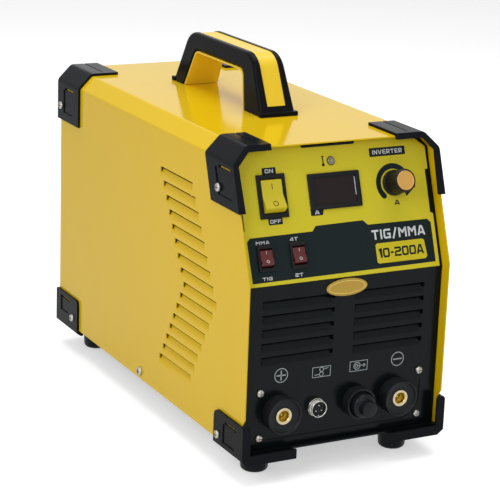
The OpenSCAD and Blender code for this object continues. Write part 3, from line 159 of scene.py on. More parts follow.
def make_tone_group():
    """Slow drift of a colour over the surface: cloudy variation and fine flecks."""
    group, start, end = new_group(
        "SurfaceTone",
        [("Colour", COLOUR, (0.5, 0.5, 0.5, 1)), ("Drift", VALUE, 0.04),
         ("Cloud Scale", VALUE, 14.0), ("Fleck Scale", VALUE, 900.0)], "Colour", COLOUR)
    both = calculate(group, "ADD", noise(group, start["Cloud Scale"], 3.0, 0.55),
                     noise(group, start["Fleck Scale"], 2.0, 0.5))
    scaled = calculate(group, "MULTIPLY", calculate(group, "SUBTRACT", both, 1.0), start["Drift"])
    shade = add_node(group, "ShaderNodeHueSaturation")
    feed(group, shade.inputs["Value"], calculate(group, "ADD", scaled, 1.0))
    feed(group, shade.inputs["Color"], start["Colour"])
    feed(group, end["Colour"], shade.outputs["Color"])
    return group


def make_gloss_group():
    """Roughness that changes with handling smears and finger marks."""
    group, start, end = new_group(
        "HandledGloss",
        [("Roughness", VALUE, 0.3), ("Smear", VALUE, 0.05), ("Smear Scale", VALUE, 22.0)], "Roughness", VALUE)
    smear = noise(group, start["Smear Scale"], 4.0, 0.6, stretch=(1.0, 0.6, 1.4))
    scaled = calculate(group, "MULTIPLY", calculate(group, "SUBTRACT", smear, 0.5), start["Smear"])
    feed(group, end["Roughness"], calculate(group, "ADD", scaled, start["Roughness"], clamp=True))
    return group


def make_grain_group():
    """Height of a moulded or sprayed surface: round grains over a slow ripple."""
    group, start, end = new_group(
        "SurfaceGrain",
        [("Grain Scale", VALUE, 1200.0), ("Grain", VALUE, 1.0), ("Ripple Scale", VALUE, 240.0)], "Height", VALUE)
    grains = object_texture(group, "ShaderNodeTexVoronoi", start["Grain Scale"], "Distance")
    ripple = noise(group, start["Ripple Scale"], 2.0, 0.5)
    feed(group, end["Height"], calculate(group, "ADD", calculate(group, "MULTIPLY", grains, start["Grain"]), ripple))
    return group


def make_turning_group():
    """Turning marks: fine rings about the line of the part, as on lathe-cut brass and steel."""
    group, start, end = new_group("TurnedMarks", [("Scale", VALUE, 1500.0)], "Height", VALUE)
    feed(group, end["Height"], noise(group, start["Scale"], 3.0, 0.6, stretch=(0.15, 1.0, 0.15)))
    return group


def make_dust_group():
    """Light dust that settles on faces that look up, with more of it in patches."""
    group, start, end = new_group(
        "SettledDust",
        [("Colour", COLOUR, (0.5, 0.5, 0.5, 1)), ("Dust Colour", COLOUR, (0.5, 0.48, 0.44, 1)),
         ("Amount", VALUE, 0.05)], "Colour", COLOUR)
    split = add_node(group, "ShaderNodeSeparateXYZ")
    feed(group, split.inputs[0], add_node(group, "ShaderNodeNewGeometry").outputs["Normal"])
    upward = calculate(group, "MULTIPLY_ADD", split.outputs["Z"], 0.6, 0.4, clamp=True)
    share = calculate(group, "MULTIPLY", upward, noise(group, 60.0, 5.0, 0.65))
    mix = add_node(group, "ShaderNodeMix", data_type="RGBA")
    feed(group, mix.inputs["Factor"], calculate(group, "MULTIPLY", share, start["Amount"], clamp=True))
    feed(group, mix.inputs["A"], start["Colour"])
    feed(group, mix.inputs["B"], start["Dust Colour"])
    feed(group, end["Colour"], mix.outputs["Result"])
    return group


TONE = make_tone_group()
GLOSS = make_gloss_group()
GRAIN = make_grain_group()
TURNING = make_turning_group()
DUST = make_dust_group()


def place_group(tree, group, **values):
    node = tree.nodes.new("ShaderNodeGroup")
    node.node_tree = group
    for key, value in values.items():
        node.inputs[key.replace("_", " ")].default_value = value
    return node


def finish(name, colour, roughness, smear=0.06, drift=0.04, dust=0.03, metallic=0.0, coat=0.0, grain_scale=1400.0,
           grain=0.0, ripple_scale=260.0, bump=0.02, specular=0.5, lathe_cut=False):
    """A finish made from the shared groups, with its constants set on the shader."""
    material = bpy.data.materials.new(name)
    material.use_nodes = True
    tree = material.node_tree
    shader = tree.nodes["Principled BSDF"]
    link = tree.links.new
    tone = place_group(tree, TONE, Colour=(*colour, 1.0), Drift=drift)
    settled = place_group(tree, DUST, Amount=dust)
    link(tone.outputs["Colour"], settled.inputs["Colour"])
    link(settled.outputs["Colour"], shader.inputs["Base Color"])
    gloss = place_group(tree, GLOSS, Roughness=roughness, Smear=smear)
    link(gloss.outputs["Roughness"], shader.inputs["Roughness"])
    if lathe_cut:
        relief = place_group(tree, TURNING)
    else:
        relief = place_group(tree, GRAIN, Grain_Scale=grain_scale, Grain=grain, Ripple_Scale=ripple_scale)
    height = add_node(tree, "ShaderNodeBump")
    height.inputs["Strength"].default_value = bump
    height.inputs["Distance"].default_value = 0.001
    link(relief.outputs["Height"], height.inputs["Height"])
    link(height.outputs["Normal"], shader.inputs["Normal"])
    for label, value in (("Metallic", metallic), ("IOR", 1.5), ("Specular IOR Level", specular),
                         ("Coat Weight", coat), ("Coat Roughness", 0.05)):
        shader.inputs[label].default_value = value
    return material


def print_ink(name, colour, roughness, bump=0.04, **settings):
    """A finish with the fine tooth of a screen print."""
    return finish(name, colour, roughness, grain=0.5, grain_scale=2600.0, bump=bump, **settings)


ENAMEL_YELLOW = finish("enamel_yellow", (0.735, 0.485, 0.004), 0.11, smear=0.04, grain=0.1, ripple_scale=420.0,
                       bump=0.03, drift=0.03, dust=0.01, specular=0.1)
POWDER_BLACK = finish("powder_black", (0.0022, 0.0045, 0.0055), 0.2, smear=0.04, grain=0.4, grain_scale=1700.0,
                      bump=0.05, dust=0.01, specular=0.11)
FILM_YELLOW = print_ink("printed_film_yellow", (0.63, 0.54, 0.026), 0.42, bump=0.05, specular=0.15, dust=0.01)
PRINT_BLACK = print_ink("printed_black", (0.008, 0.0145, 0.016), 0.42, bump=0.05, dust=0.01, specular=0.08)
PRINT_WHITE = print_ink("printed_white", (0.62, 0.64, 0.64), 0.45)
PRINT_GREY = print_ink("printed_grey", (0.36, 0.4, 0.42), 0.45, specular=0.2)
PRINT_YELLOW = print_ink("printed_yellow", (0.6, 0.5, 0.015), 0.4, specular=0.15)
GUARD_BLACK = finish("guard_black", (0.009, 0.0105, 0.013), 0.14, grain=0.3, bump=0.03, specular=0.025, dust=0.005)
GRIP_BLACK = finish("grip_black", (0.006, 0.0065, 0.008), 0.16, grain=0.4, bump=0.04, specular=0.035, dust=0.005)
GRIP_YELLOW = finish("grip_yellow", (0.84, 0.58, 0.025), 0.3, grain=0.3, bump=0.05, specular=0.25)
RUBBER = finish("rubber_black", (0.0035, 0.005, 0.0075), 0.3, grain=0.6, bump=0.07, dust=0.012, specular=0.16)
ZINC = finish("zinc_screws", (0.4, 0.39, 0.36), 0.34, metallic=1.0, bump=0.05)
NICKEL = finish("nickel", (0.42, 0.41, 0.38), 0.26, metallic=1.0, lathe_cut=True, bump=0.08)
BRASS = finish("turned_brass", (0.52, 0.41, 0.13), 0.24, metallic=1.0, lathe_cut=True, bump=0.1)
COPPER = finish("copper_bars", (0.72, 0.38, 0.22), 0.34, metallic=1.0, bump=0.08)
RIM_BRASS = finish("faced_brass", (0.5, 0.43, 0.31), 0.32, metallic=1.0, grain=0.3, bump=0.04)
SOCKET_BLACK = finish("socket_black", (0.0055, 0.0075, 0.0095), 0.3, grain=0.5, bump=0.06, specular=0.14)
SWITCH_BLACK = finish("switch_black", (0.007, 0.008, 0.009), 0.3, grain=0.6, bump=0.08, specular=0.1)
ROCKER_YELLOW = finish("rocker_yellow", (0.59, 0.485, 0.013), 0.24, grain=0.3, bump=0.03, specular=0.3)
ROCKER_RED = finish("rocker_red", (0.1, 0.0095, 0.0095), 0.18, grain=0.2, bump=0.03, specular=0.3)
KNOB_BLACK = finish("knob_black", (0.008, 0.008, 0.009), 0.33, grain=0.6, bump=0.1, specular=0.12)
KNOB_COPPER = finish("knob_copper", (0.61, 0.33, 0.07), 0.36, metallic=0.4, lathe_cut=True, bump=0.12)
METER_GLASS = finish("meter_glass", (0.014, 0.007, 0.008), 0.08, bump=0.01, specular=0.15, dust=0.01)
# Pale grey of a painted glint: the light caught by the meter window's inner edge
PAINTED_GLINT = finish("painted_lens_glint", (0.5, 0.52, 0.54), 0.15, bump=0.01)
BADGE_GOLD = finish("badge_gold", (0.43, 0.27, 0.033), 0.34, metallic=0.35, bump=0.03, specular=0.4)
BADGE_RIM = finish("badge_rim", (0.72, 0.58, 0.14), 0.26, metallic=0.5, bump=0.03)
GREY_PARTS = finish("grey_parts", (0.4, 0.4, 0.4), 0.5, grain=0.6, bump=0.1)
LED_AMBER = finish("lamp_amber", (0.2, 0.19, 0.1), 0.12, coat=0.6, bump=0.01)
ALUMINIUM = finish("extruded_aluminium", (0.75, 0.76, 0.77), 0.38, metallic=1.0, bump=0.1)
BOARD_GREEN = finish("board_green", (0.015, 0.11, 0.04), 0.4, grain=0.4, bump=0.1)
# Own colour of the dark moulded parts, also used for the sheet behind the front louvres, which is painted shade
PARTS_AND_SHADE_DARK = finish("moulded_parts_and_shade_sheet", (0.03, 0.03, 0.035), 0.5, grain=0.8, bump=0.12)


# ---- Modelling helpers ----
def deselect():
    if bpy.context.object and bpy.context.object.mode != "OBJECT":
        bpy.ops.object.mode_set(mode="OBJECT")
    bpy.ops.object.select_all(action="DESELECT")


def pick(piece):
    deselect()
    piece.select_set(True)
    bpy.context.view_layer.objects.active = piece


def edit_all(piece):
    """Opens a piece's mesh with all of it selected."""
    pick(piece)
    bpy.ops.object.mode_set(mode="EDIT")
    bpy.ops.mesh.select_all(action="SELECT")


def end_edit():
    bpy.ops.object.mode_set(mode="OBJECT")


def dress(piece, material):
    piece.data.materials.clear()
    piece.data.materials.append(material)


def wear(piece, material, body="case"):
    dress(piece, material)
    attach(piece, body)
    return piece


def settle(piece, smooth=35):
    """Puts the piece's place into its mesh and shades it."""
    pick(piece)
    bpy.ops.object.transform_apply(location=True, rotation=True, scale=True)
    if smooth:
        bpy.ops.object.shade_smooth_by_angle(angle=math.radians(smooth))
    return piece


def weld_flat(piece, angle):
    """Merges doubled points and dissolves the edges inside flat faces."""
    edit_all(piece)
    bpy.ops.mesh.remove_doubles(threshold=0.000002)
    bpy.ops.mesh.dissolve_limited(angle_limit=math.radians(angle))
    end_edit()


def round_edges(piece, width, segments, clamp=False):
    pick(piece)
    bevel = piece.modifiers.new("rounded_edges", "BEVEL")
    bevel.width = width * MM
    bevel.segments = segments
    bevel.limit_method = "ANGLE"
    bevel.angle_limit = math.radians(40)
    bevel.use_clamp_overlap = clamp
    bpy.ops.object.modifier_apply(modifier=bevel.name)
    return piece


def combine(piece, tool, operation):
    """Cuts a tool's shape out of a piece, or fuses it on, and takes the tool away."""
    pick(piece)
    cut = piece.modifiers.new("combine", "BOOLEAN")
    cut.operation = operation
    cut.solver = "EXACT"
    cut.object = tool
    bpy.ops.object.modifier_apply(modifier=cut.name)
    bpy.data.objects.remove(tool)
    return piece


def shade_evenly(piece):
    pick(piece)
    bpy.ops.object.shade_smooth_by_angle(angle=math.radians(35))
    even = piece.modifiers.new("even_shading", "WEIGHTED_NORMAL")
    even.keep_sharp = True
    bpy.ops.object.modifier_apply(modifier=even.name)
    return piece


def soften(node, material, body="case", edge=0.4, segments=3, reshape=None, groove=None):
    """A copy of a solid, reshaped if need be, with its sharp edges rounded and a groove cut, which stands for it."""
    source = NODES[node]
    copy = source.copy()
    copy.data = source.data.copy()
    copy.name = node + "_dressed"
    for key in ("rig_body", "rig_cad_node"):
        if key in copy:
            del copy[key]
    copy.parent = None
    bpy.context.scene.collection.objects.link(copy)
    weld_flat(copy, 0.6)
    if reshape:
        reshape(copy)
    if edge:
        round_edges(copy, edge, segments, clamp=True)
    if groove:
        combine(copy, groove, "DIFFERENCE")
    shade_evenly(copy)
    wear(copy, material, body)
    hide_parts(node)
    return copy


def join(pieces, name):
    deselect()
    for piece in pieces:
        piece.select_set(True)
    bpy.context.view_layer.objects.active = pieces[0]
    bpy.ops.object.join()
    pieces[0].name = name
    return pieces[0]


def add_object(name, data):
    piece = bpy.data.objects.new(name, data)
    bpy.context.scene.collection.objects.link(piece)
    pick(piece)
    return piece


def mesh_from_lines(name, lines, thick=None):
    """Closed lines of points in millimetres as a mesh, filled to a half thickness or left as bare edges."""
    curve = bpy.data.curves.new(name, "CURVE")
    if thick is None:
        curve.dimensions = "3D"
    else:
        curve.dimensions = "2D"
        curve.fill_mode = "BOTH"
        curve.extrude = thick * MM
    for line in lines:
        spline = curve.splines.new("POLY")
        spline.points.add(len(line) - 1)
        for point, place in zip(spline.points, line):
            point.co = (*(part * MM for part in place), 1)
        spline.use_cyclic_u = True
    add_object(name, curve)
    bpy.ops.object.convert(target="MESH")
    return bpy.context.object


def add_block(name, middle, size):
    """A box, in millimetres, to cut with or to work on."""
    bpy.ops.mesh.primitive_cube_add(size=1, location=[part * MM for part in middle])
    block = bpy.context.object
    block.name = name
    block.scale = [part * MM for part in size]
    return settle(block, smooth=0)


def turned(name, profile, at, steps=56):
    """A piece turned about the upright axis of its placing matrix, from a line of radii and heights in millimetres."""
    mesh = bpy.data.meshes.new(name)
    mesh.from_pydata([(radius * MM, 0, rise * MM) for radius, rise in profile],
                     [(i, i + 1) for i in range(len(profile) - 1)], [])
    piece = add_object(name, mesh)
    edit_all(piece)
    bpy.ops.mesh.spin(steps=steps, angle=2 * math.pi, center=(0, 0, 0), axis=(0, 0, 1))
    bpy.ops.mesh.select_all(action="SELECT")
    bpy.ops.mesh.remove_doubles(threshold=0.00001)
    bpy.ops.mesh.normals_make_consistent(inside=False)
    end_edit()
    piece.matrix_world = at
    return settle(piece, smooth=32)


# ---- Outlines in millimetres ----
PRINT_THICK = 0.03        # half the thickness of a layer of print


def flat_shape(name, outlines, at, thick=PRINT_THICK):
    """A thin flat piece filled between closed outlines, stood at a placing matrix."""
    piece = mesh_from_lines(name, [[(x, y, 0) for x, y in outline] for outline in outlines], thick)
    piece.matrix_world = at
    return settle(piece, smooth=0)


def on_circle(radius, angle, centre=(0, 0)):
    """Point on a circle at an angle in degrees."""
    turn = math.radians(angle)
    return centre[0] + radius * math.cos(turn), centre[1] + radius * math.sin(turn)


def ring_outline(radius, steps=40, centre=(0, 0), start=0.0, sweep=360.0):
    """Points on a circle or an arc."""
    count = steps if abs(sweep) >= 360 else steps + 1
    return [on_circle(radius, start + sweep * i / steps, centre) for i in range(count)]


def ellipse(half_width, half_height, centre, steps=48):
    return [(centre[0] + half_width * math.cos(2 * math.pi * i / steps),
             centre[1] + half_height * math.sin(2 * math.pi * i / steps)) for i in range(steps)]


def rounded_box(width, height, radius, centre=(0, 0), steps=5):
    cx, cy = centre
    points = []
    for sx, sy, turn in ((1, 1, 0), (-1, 1, 90), (-1, -1, 180), (1, -1, 270)):
        corner = (cx + sx * (width / 2 - radius), cy + sy * (height / 2 - radius))
        points += ring_outline(radius, steps, corner, turn, 90)
    return points


def stroke_outline(points, width):
    """Closed outline of a mitred stroke of one width along a line of points."""
    path = [Vector(point) for point in points]
    sides = []
    for i, point in enumerate(path):
        before = (point - path[i - 1]).normalized() if i else (path[1] - point).normalized()
        after = (path[i + 1] - point).normalized() if i + 1 < len(path) else before
        across = Vector((-before.y - after.y, before.x + after.x)).normalized()
        reach = width / 2 / max(0.5, across.dot(Vector((-before.y, before.x))))
        sides.append((point + across * reach, point - across * reach))
    return [left for left, right in sides] + [right for left, right in reversed(sides)]


def line_circle(name, radius, width, centre, at):
    """A printed ring of one line width."""
    return flat_shape(name, [ring_outline(radius, 40, centre), ring_outline(radius - width, 40, centre)], at)


def bar(name, start, end, width, at):
    """A straight printed stroke."""
    direction = Vector((end[0] - start[0], end[1] - start[1]))
    across = Vector((-direction.y, direction.x)).normalized() * width / 2
    points = [(start[0] + across.x, start[1] + across.y), (start[0] - across.x, start[1] - across.y),
              (end[0] - across.x, end[1] - across.y), (end[0] + across.x, end[1] + across.y)]
    return flat_shape(name, [points], at)


# Strokes of the wide square letters in a box one high; each glyph has its width and its lines.
BLOCK_GLYPHS = {
    "T": (1.0, [[(0, 0.89), (1.0, 0.89)], [(0.5, 0.8), (0.5, 0)]]),
    "I": (0.22, [[(0.11, 0), (0.11, 1)]]),
    "G": (1.0, [[(1.0, 0.89), (0.2, 0.89), (0.11, 0.8), (0.11, 0.2), (0.2, 0.11), (0.89, 0.11), (0.89, 0.48),
                 (0.52, 0.48)]]),
    "/": (0.7, [[(0.1, -0.06), (0.6, 1.06)]]),
    "M": (1.15, [[(0.11, 0), (0.11, 1)], [(1.04, 0), (1.04, 1)], [(0.17, 0.9), (0.575, 0.5), (0.98, 0.9)]]),
    "A": (1.05, [[(0.08, 0), (0.42, 0.89), (0.63, 0.89), (0.97, 0)], [(0.24, 0.27), (0.81, 0.27)]]),
    "1": (0.45, [[(0.0, 0.78), (0.2, 0.9), (0.34, 0.9), (0.34, 0)]]),
    "0": (1.0, [[(0.11, 0.5), (0.11, 0.2), (0.2, 0.11), (0.8, 0.11), (0.89, 0.2), (0.89, 0.8), (0.8, 0.89),
                 (0.2, 0.89), (0.11, 0.8), (0.11, 0.5)]]),
    "2": (1.0, [[(0, 0.89), (0.8, 0.89), (0.89, 0.8), (0.89, 0.62), (0.8, 0.53), (0.2, 0.5), (0.11, 0.41),
                 (0.11, 0.11), (1.0, 0.11)]]),
    "-": (0.5, [[(0.04, 0.47), (0.46, 0.47)]]),
    "N": (1.05, [[(0.11, 0), (0.11, 1)], [(0.14, 0.92), (0.91, 0.08)], [(0.94, 0), (0.94, 1)]]),
    "V": (1.05, [[(0.06, 1), (0.45, 0.1), (0.6, 0.1), (0.99, 1)]]),
    "E": (0.95, [[(0.95, 0.89), (0.2, 0.89), (0.11, 0.8), (0.11, 0.2), (0.2, 0.11), (0.95, 0.11)],
                 [(0.11, 0.5), (0.85, 0.5)]]),
    "R": (1.0, [[(0.11, 0), (0.11, 0.89), (0.8, 0.89), (0.89, 0.8), (0.89, 0.55), (0.8, 0.46), (0.2, 0.46)],
                [(0.55, 0.46), (0.9, 0)]]),
    "F": (0.95, [[(0.11, 0), (0.11, 0.8), (0.2, 0.89), (0.95, 0.89)], [(0.11, 0.48), (0.85, 0.48)]]),
    "4": (1.0, [[(0.75, 0), (0.75, 1)], [(1.0, 0.27), (0.12, 0.27), (0.12, 0.36), (0.6, 0.95)]]),
}
BLOCK_GLYPHS["O"] = BLOCK_GLYPHS["0"]


def block_letters(name, words, height, span, at, weight=0.2, gap=0.16):
    """Wide square letters of one height, stretched to a total span and centred on the placing matrix."""
    total = sum(BLOCK_GLYPHS[letter][0] for letter in words) + gap * (len(words) - 1)
    scale = span / total
    cursor = -span / 2
    pieces = []
    for letter in words:
        wide, strokes = BLOCK_GLYPHS[letter]
        for stroke in strokes:
            line = [(cursor + x * scale, (y - 0.5) * height) for x, y in stroke]
            pieces.append(flat_shape(name + "_stroke", [stroke_outline(line, weight * height)], at))
        cursor += (wide + gap) * scale
    return join(pieces, name)


# ---- Case: solids with rounded edges ----
GROOVE_X, GROOVE_WIDTH, GROOVE_DEPTH = 67, 1.3, 0.7
FRONT_FLANGE = (38, 90)           # reach of the groove behind the cover's foremost edge, past the guard's end
REAR_FLANGE = (338, 400)
FLANGE_END, WIDE_FLANGE_END = 58, 54


def flange_groove(side, start, end):
    """Bar that cuts the groove along the roof flange of a top guard."""
    return add_block("flange_groove", (side * GROOVE_X, FRONT_Y + (start + end) / 2, GUARD_TOP),
                     (GROOVE_WIDTH, end - start, 2 * GROOVE_DEPTH))


def widen_flange(guard):
    """Moves the inner end of the right front guard's flange further in over the roof."""
    for vertex in guard.data.vertices:
        if abs(vertex.co.x / MM - FLANGE_END) < 0.3:
            vertex.co.x = WIDE_FLANGE_END * MM


def dress_case():
    soften("top_cover", ENAMEL_YELLOW, edge=0)
    soften("front_panel", POWDER_BLACK, edge=0.3, segments=2)
    dress(NODES["base_pan"], POWDER_BLACK)
    soften("rear_panel", POWDER_BLACK, edge=0.3, segments=2)
    soften("control_decal", FILM_YELLOW, edge=0.12, segments=2)
    for node in sorted(NODES):
        if node.startswith("guard_low"):
            soften(node, GUARD_BLACK, edge=0.7)
    for name, side in (("left", -1), ("right", 1)):
        soften("guard_top_front_" + name, GUARD_BLACK, edge=0.7, groove=flange_groove(side, *FRONT_FLANGE),
               reshape=widen_flange if side > 0 else None)
        soften("guard_top_rear_" + name, GUARD_BLACK, edge=0.7, groove=flange_groove(side, *REAR_FLANGE))
    soften("feet", RUBBER, edge=0.6)
    for node in ("guard_screws", "cover_screws", "panel_screws", "foot_screws", "handle_screws"):
        dress(NODES[node], ZINC)


# ---- Carry handle: its corners give y behind the foremost edge, height above the roof and the radius there ----
GRIP_HEIGHT = 48.2
GRIP_FOOT_HALF = 16.4
GRIP_TOP_HALF = 13.8
STRIP_HALF = 8.5
STRIP_SEAT = 0.15                 # gap between the strip and its groove
STRIP_FOOT = 7.6                  # height at which the strip widens out over the legs
STRIP_FRONT, STRIP_REAR = 137, 287
BELOW = -4                        # start of the outlines, under the roof
GRIP_OUTER = [(126.5, BELOW, 0), (152.5, GRIP_HEIGHT, 20), (271, GRIP_HEIGHT, 18), (298, BELOW, 0)]
SKIN_INNER = [(159.8, BELOW, 0), (167.5, 33.3, 8), (256, 33.3, 9), (276.2, BELOW, 0)]
FINGER_INNER = [(160.6, BELOW, 0), (168.3, 31.7, 7), (255.2, 31.7, 8), (274.6, BELOW, 0)]
STRIP_OUTER = [(STRIP_FRONT, BELOW, 0), (STRIP_FRONT, STRIP_FOOT, 0), (132.9, STRIP_FOOT, 0),
               (153, GRIP_HEIGHT - 0.6, 19.4), (270.4, GRIP_HEIGHT - 0.6, 17.4),
               (291.3, STRIP_FOOT, 0), (STRIP_REAR, STRIP_FOOT, 0), (STRIP_REAR, BELOW, 0)]
LIP_HALF, LIP_RISE = 17.3, 3.8
FRONT_LIP, REAR_LIP = (126.8, 132), (292, 297.3)


def rounded_path(corners, steps=8):
    """A line through corners, each turned by an arc of its own radius."""
    points = []
    for i, (along, rise, radius) in enumerate(corners):
        corner = Vector((along, rise))
        if not radius:
            points.append(corner)
            continue
        back = (Vector(corners[i - 1][:2]) - corner).normalized()
        ahead = (Vector(corners[i + 1][:2]) - corner).normalized()
        half = back.angle(ahead) / 2
        reach = radius / math.tan(half)
        centre = corner + (back + ahead).normalized() * radius / math.sin(half)
        spoke = corner + back * reach - centre
        turn = -spoke.angle_signed(corner + ahead * reach - centre)
        points += [centre + Matrix.Rotation(turn * k / steps, 2) @ spoke for k in range(steps + 1)]
    return points


def arch_solid(name, outline, foot_half, top_half):
    """A block across the body from a closed outline, its two sides leaning in towards the top."""
    block = mesh_from_lines(name, [[(-foot_half, FRONT_Y + along, ROOF_Z + rise) for along, rise in outline]])
    edit_all(block)
    bpy.ops.mesh.edge_face_add()
    bpy.ops.mesh.extrude_region_move(TRANSFORM_OT_translate={"value": (2 * foot_half * MM, 0, 0)})
    bpy.ops.mesh.select_all(action="SELECT")
    bpy.ops.mesh.normals_make_consistent(inside=False)
    end_edit()
    for vertex in block.data.vertices:
        rise = vertex.co.z / MM - ROOF_Z
        half = foot_half + (top_half - foot_half) * rise / GRIP_HEIGHT
        vertex.co.x = math.copysign(half * MM, vertex.co.x)
    return block


def stand_on_roof(piece):
    """Trims what reaches below the roof, closes the cut and shades the piece."""
    edit_all(piece)
    bpy.ops.mesh.bisect(plane_co=(0, 0, (ROOF_Z + ROOF_GAP) * MM), plane_no=(0, 0, 1), clear_inner=True,
                        use_fill=True)
    end_edit()
    return shade_evenly(piece)


def foot_lip(name, low, high, free):
    """Moulded lip across the foot of a leg, with its corners rounded at its free end."""
    lip = add_block(name, (0, FRONT_Y + (low + high) / 2, ROOF_Z - 1), (2 * LIP_HALF, high - low, 2 * (LIP_RISE + 1)))
    free_y = (FRONT_Y + free) * MM
    pick(lip)
    bpy.ops.object.mode_set(mode="EDIT")
    shape = bmesh.from_edit_mesh(lip.data)
    for edge in shape.edges:
        ends = [vertex.co for vertex in edge.verts]
        upright = abs(ends[0].x - ends[1].x) + abs(ends[0].y - ends[1].y) < 1e-6
        edge.select_set(upright and abs(ends[0].y - free_y) < 1e-6)
    bmesh.update_edit_mesh(lip.data)
    bpy.ops.mesh.bevel(offset=1.6 * MM, segments=5, affect="EDGES")
    end_edit()
    return round_edges(lip, 0.7, 3)


def build_handle():
    outer, skin, finger, strip = (rounded_path(line) for line in (GRIP_OUTER, SKIN_INNER, FINGER_INNER, STRIP_OUTER))
    grip = round_edges(arch_solid("handle_grip", outer + skin[::-1], GRIP_FOOT_HALF, GRIP_TOP_HALF), 2.9, 6)
    combine(grip, foot_lip("lip_front", *FRONT_LIP, FRONT_LIP[0]), "UNION")
    combine(grip, foot_lip("lip_rear", *REAR_LIP, REAR_LIP[1]), "UNION")
    front, rear, foot_top = STRIP_FRONT + STRIP_SEAT, STRIP_REAR - STRIP_SEAT, STRIP_FOOT + STRIP_SEAT
    around = [(front, -9), (front, foot_top), (100, foot_top), (100, 60), (320, 60), (320, foot_top),
              (rear, foot_top), (rear, -9)]
    combine(grip, arch_solid("groove", around, STRIP_HALF + STRIP_SEAT, STRIP_HALF + STRIP_SEAT), "DIFFERENCE")
    stand_on_roof(grip)
    wear(grip, GRIP_BLACK)
    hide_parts("handle_side_left", "handle_side_right", "handle_boots")

    core = round_edges(arch_solid("handle_strip", strip + finger[::-1], STRIP_HALF, STRIP_HALF), 0.5, 3)
    lining = arch_solid("lining", skin + finger[::-1], GRIP_FOOT_HALF - 0.4, GRIP_TOP_HALF - 0.4)
    combine(core, lining, "UNION")
    stand_on_roof(core)
    wear(core, GRIP_YELLOW)
    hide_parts("handle_core")


def dress_controls():
    for node in ("main_switch_body", "process_switch_body", "trigger_switch_body"):
        soften(node, SWITCH_BLACK, edge=0.25)
    soften("main_rocker", ROCKER_YELLOW, body="main_rocker", edge=0.7)
    soften("process_rocker", ROCKER_RED, body="process_rocker")
    soften("trigger_rocker", ROCKER_RED, body="trigger_rocker")
    soften("meter_lens", METER_GLASS, edge=0.2)
    dress(NODES["meter_module"], GREY_PARTS)
    dress(NODES["overheat_led"], LED_AMBER)
    dress(NODES["potentiometer"], GREY_PARTS)
    dress(NODES["pot_shaft"], NICKEL)
    soften("current_knob", KNOB_BLACK, body="current_knob", edge=0.25)
    soften("knob_cap", KNOB_COPPER, body="current_knob", edge=0.2)
    soften("oval_badge", BADGE_GOLD, edge=0.25)


# ---- Turned fittings: each line gives radii and distances in front of the panel ----
BARREL = [(6.95, -13.9), (10.9, -13.9), (10.9, 0.15), (14.9, 0.15), (14.9, 10.9), (14.6, 11.5), (14.2, 11.7),
          (13.7, 11.6), (13.2, 11.1), (12.8, 9.9), (11.8, 9.2), (8.6, 9.0), (7.3, 9.1), (6.95, 8.8), (6.95, -13.9)]
CONTACT_SEAT = [(0, 1.0), (5.3, 1.0), (5.3, 9.45), (4.7, 9.45), (4.4, 9.1), (4.4, 2.4), (2.2, 3.0), (1.3, 4.6),
                (0.6, 5.3), (0, 5.4)]
CONTACT_RIM = [(5.2, 9.0), (6.9, 9.0), (6.9, 9.5), (6.6, 9.8), (5.5, 9.8), (5.2, 9.5), (5.2, 9.0)]
THREAD_START, THREAD_PITCH, THREAD_TURNS = 2.6, 0.75, 4
THREAD_ROOT, THREAD_CREST = 6.6, 6.95
CONTROL_FLANGE = [(5.0, 0.15), (7.6, 0.15), (7.6, 1.9), (7.3, 2.2), (THREAD_ROOT, 2.2), (THREAD_ROOT, THREAD_START)]
CONTROL_MOUTH = [(7.05, 5.75), (7.05, 6.2), (6.85, 6.5), (6.3, 6.5), (6.15, 6.3), (6.15, 2.4), (5.0, 2.4), (5.0, 0.15)]
CONTROL_INSERT = [(0, 1.0), (6.05, 1.0), (6.05, 4.9), (5.75, 5.2), (5.1, 5.2), (4.9, 4.9), (4.9, 4.5), (0, 4.5)]
PIN_CIRCLE, PIN_RADIUS = 2.9, 0.55
KEY_SPOT, KEY_RADIUS = (0, -5.55), 0.5
TORCH_CAP = [(0, 16), (4.6, 16), (4.6, 3.2), (9.9, 3.2), (10.2, 3.6), (10.2, 12.6), (9.9, 14.2), (9.1, 15.4),
             (7.9, 16.0), (7.1, 16.3), (6.75, 16.9), (6.6, 21.8), (6.3, 22.6), (5.6, 23.0), (0, 22.8)]


def fit_output(side, x):
    """Twist-lock socket: its barrel, the inside of its contact and the contact's faced rim."""
    at = place_front(x, 0, SOCKET_UP)
    shell = wear(turned(side + "_barrel", BARREL, at, steps=80), SOCKET_BLACK)
    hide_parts(side + "_socket_shell")
    soften(side + "_socket_contact", BRASS, edge=0.3)
    for name, profile, material in (("_contact_seat", CONTACT_SEAT, BRASS), ("_contact_rim", CONTACT_RIM, RIM_BRASS)):
        wear(turned(side + name, profile, at), material)


def fit_control_socket():
    """Threaded ring of the control socket, its insert, its pins and its key."""
    at = place_front(CONTROL_X, 0, SOCKET_UP)
    profile = list(CONTROL_FLANGE)
    for turn in range(THREAD_TURNS):
        low = THREAD_START + THREAD_PITCH * turn
        profile += [(THREAD_CREST, low + 0.3), (THREAD_CREST, low + 0.45), (THREAD_ROOT, low + THREAD_PITCH)]
    ring = turned("control_socket_ring", profile + CONTROL_MOUTH, at)
    wear(ring, NICKEL)
    insert = turned("control_socket_face", CONTROL_INSERT, at)
    wear(insert, SOCKET_BLACK)
    spots = [(*spot, PIN_RADIUS) for spot in ring_outline(PIN_CIRCLE, 3, start=90)] + [(*KEY_SPOT, KEY_RADIUS)]
    pins = [turned("pin", [(0, 4.0), (radius, 4.0), (radius, 5.7), (radius * 0.6, 6.0), (0, 6.05)],
                   at @ Matrix.Translation((x * MM, y * MM, 0)), steps=16) for x, y, radius in spots]
    wear(join(pins, "control_socket_pins"), NICKEL)
    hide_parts("control_socket_shell")
    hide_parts("control_socket_insert")


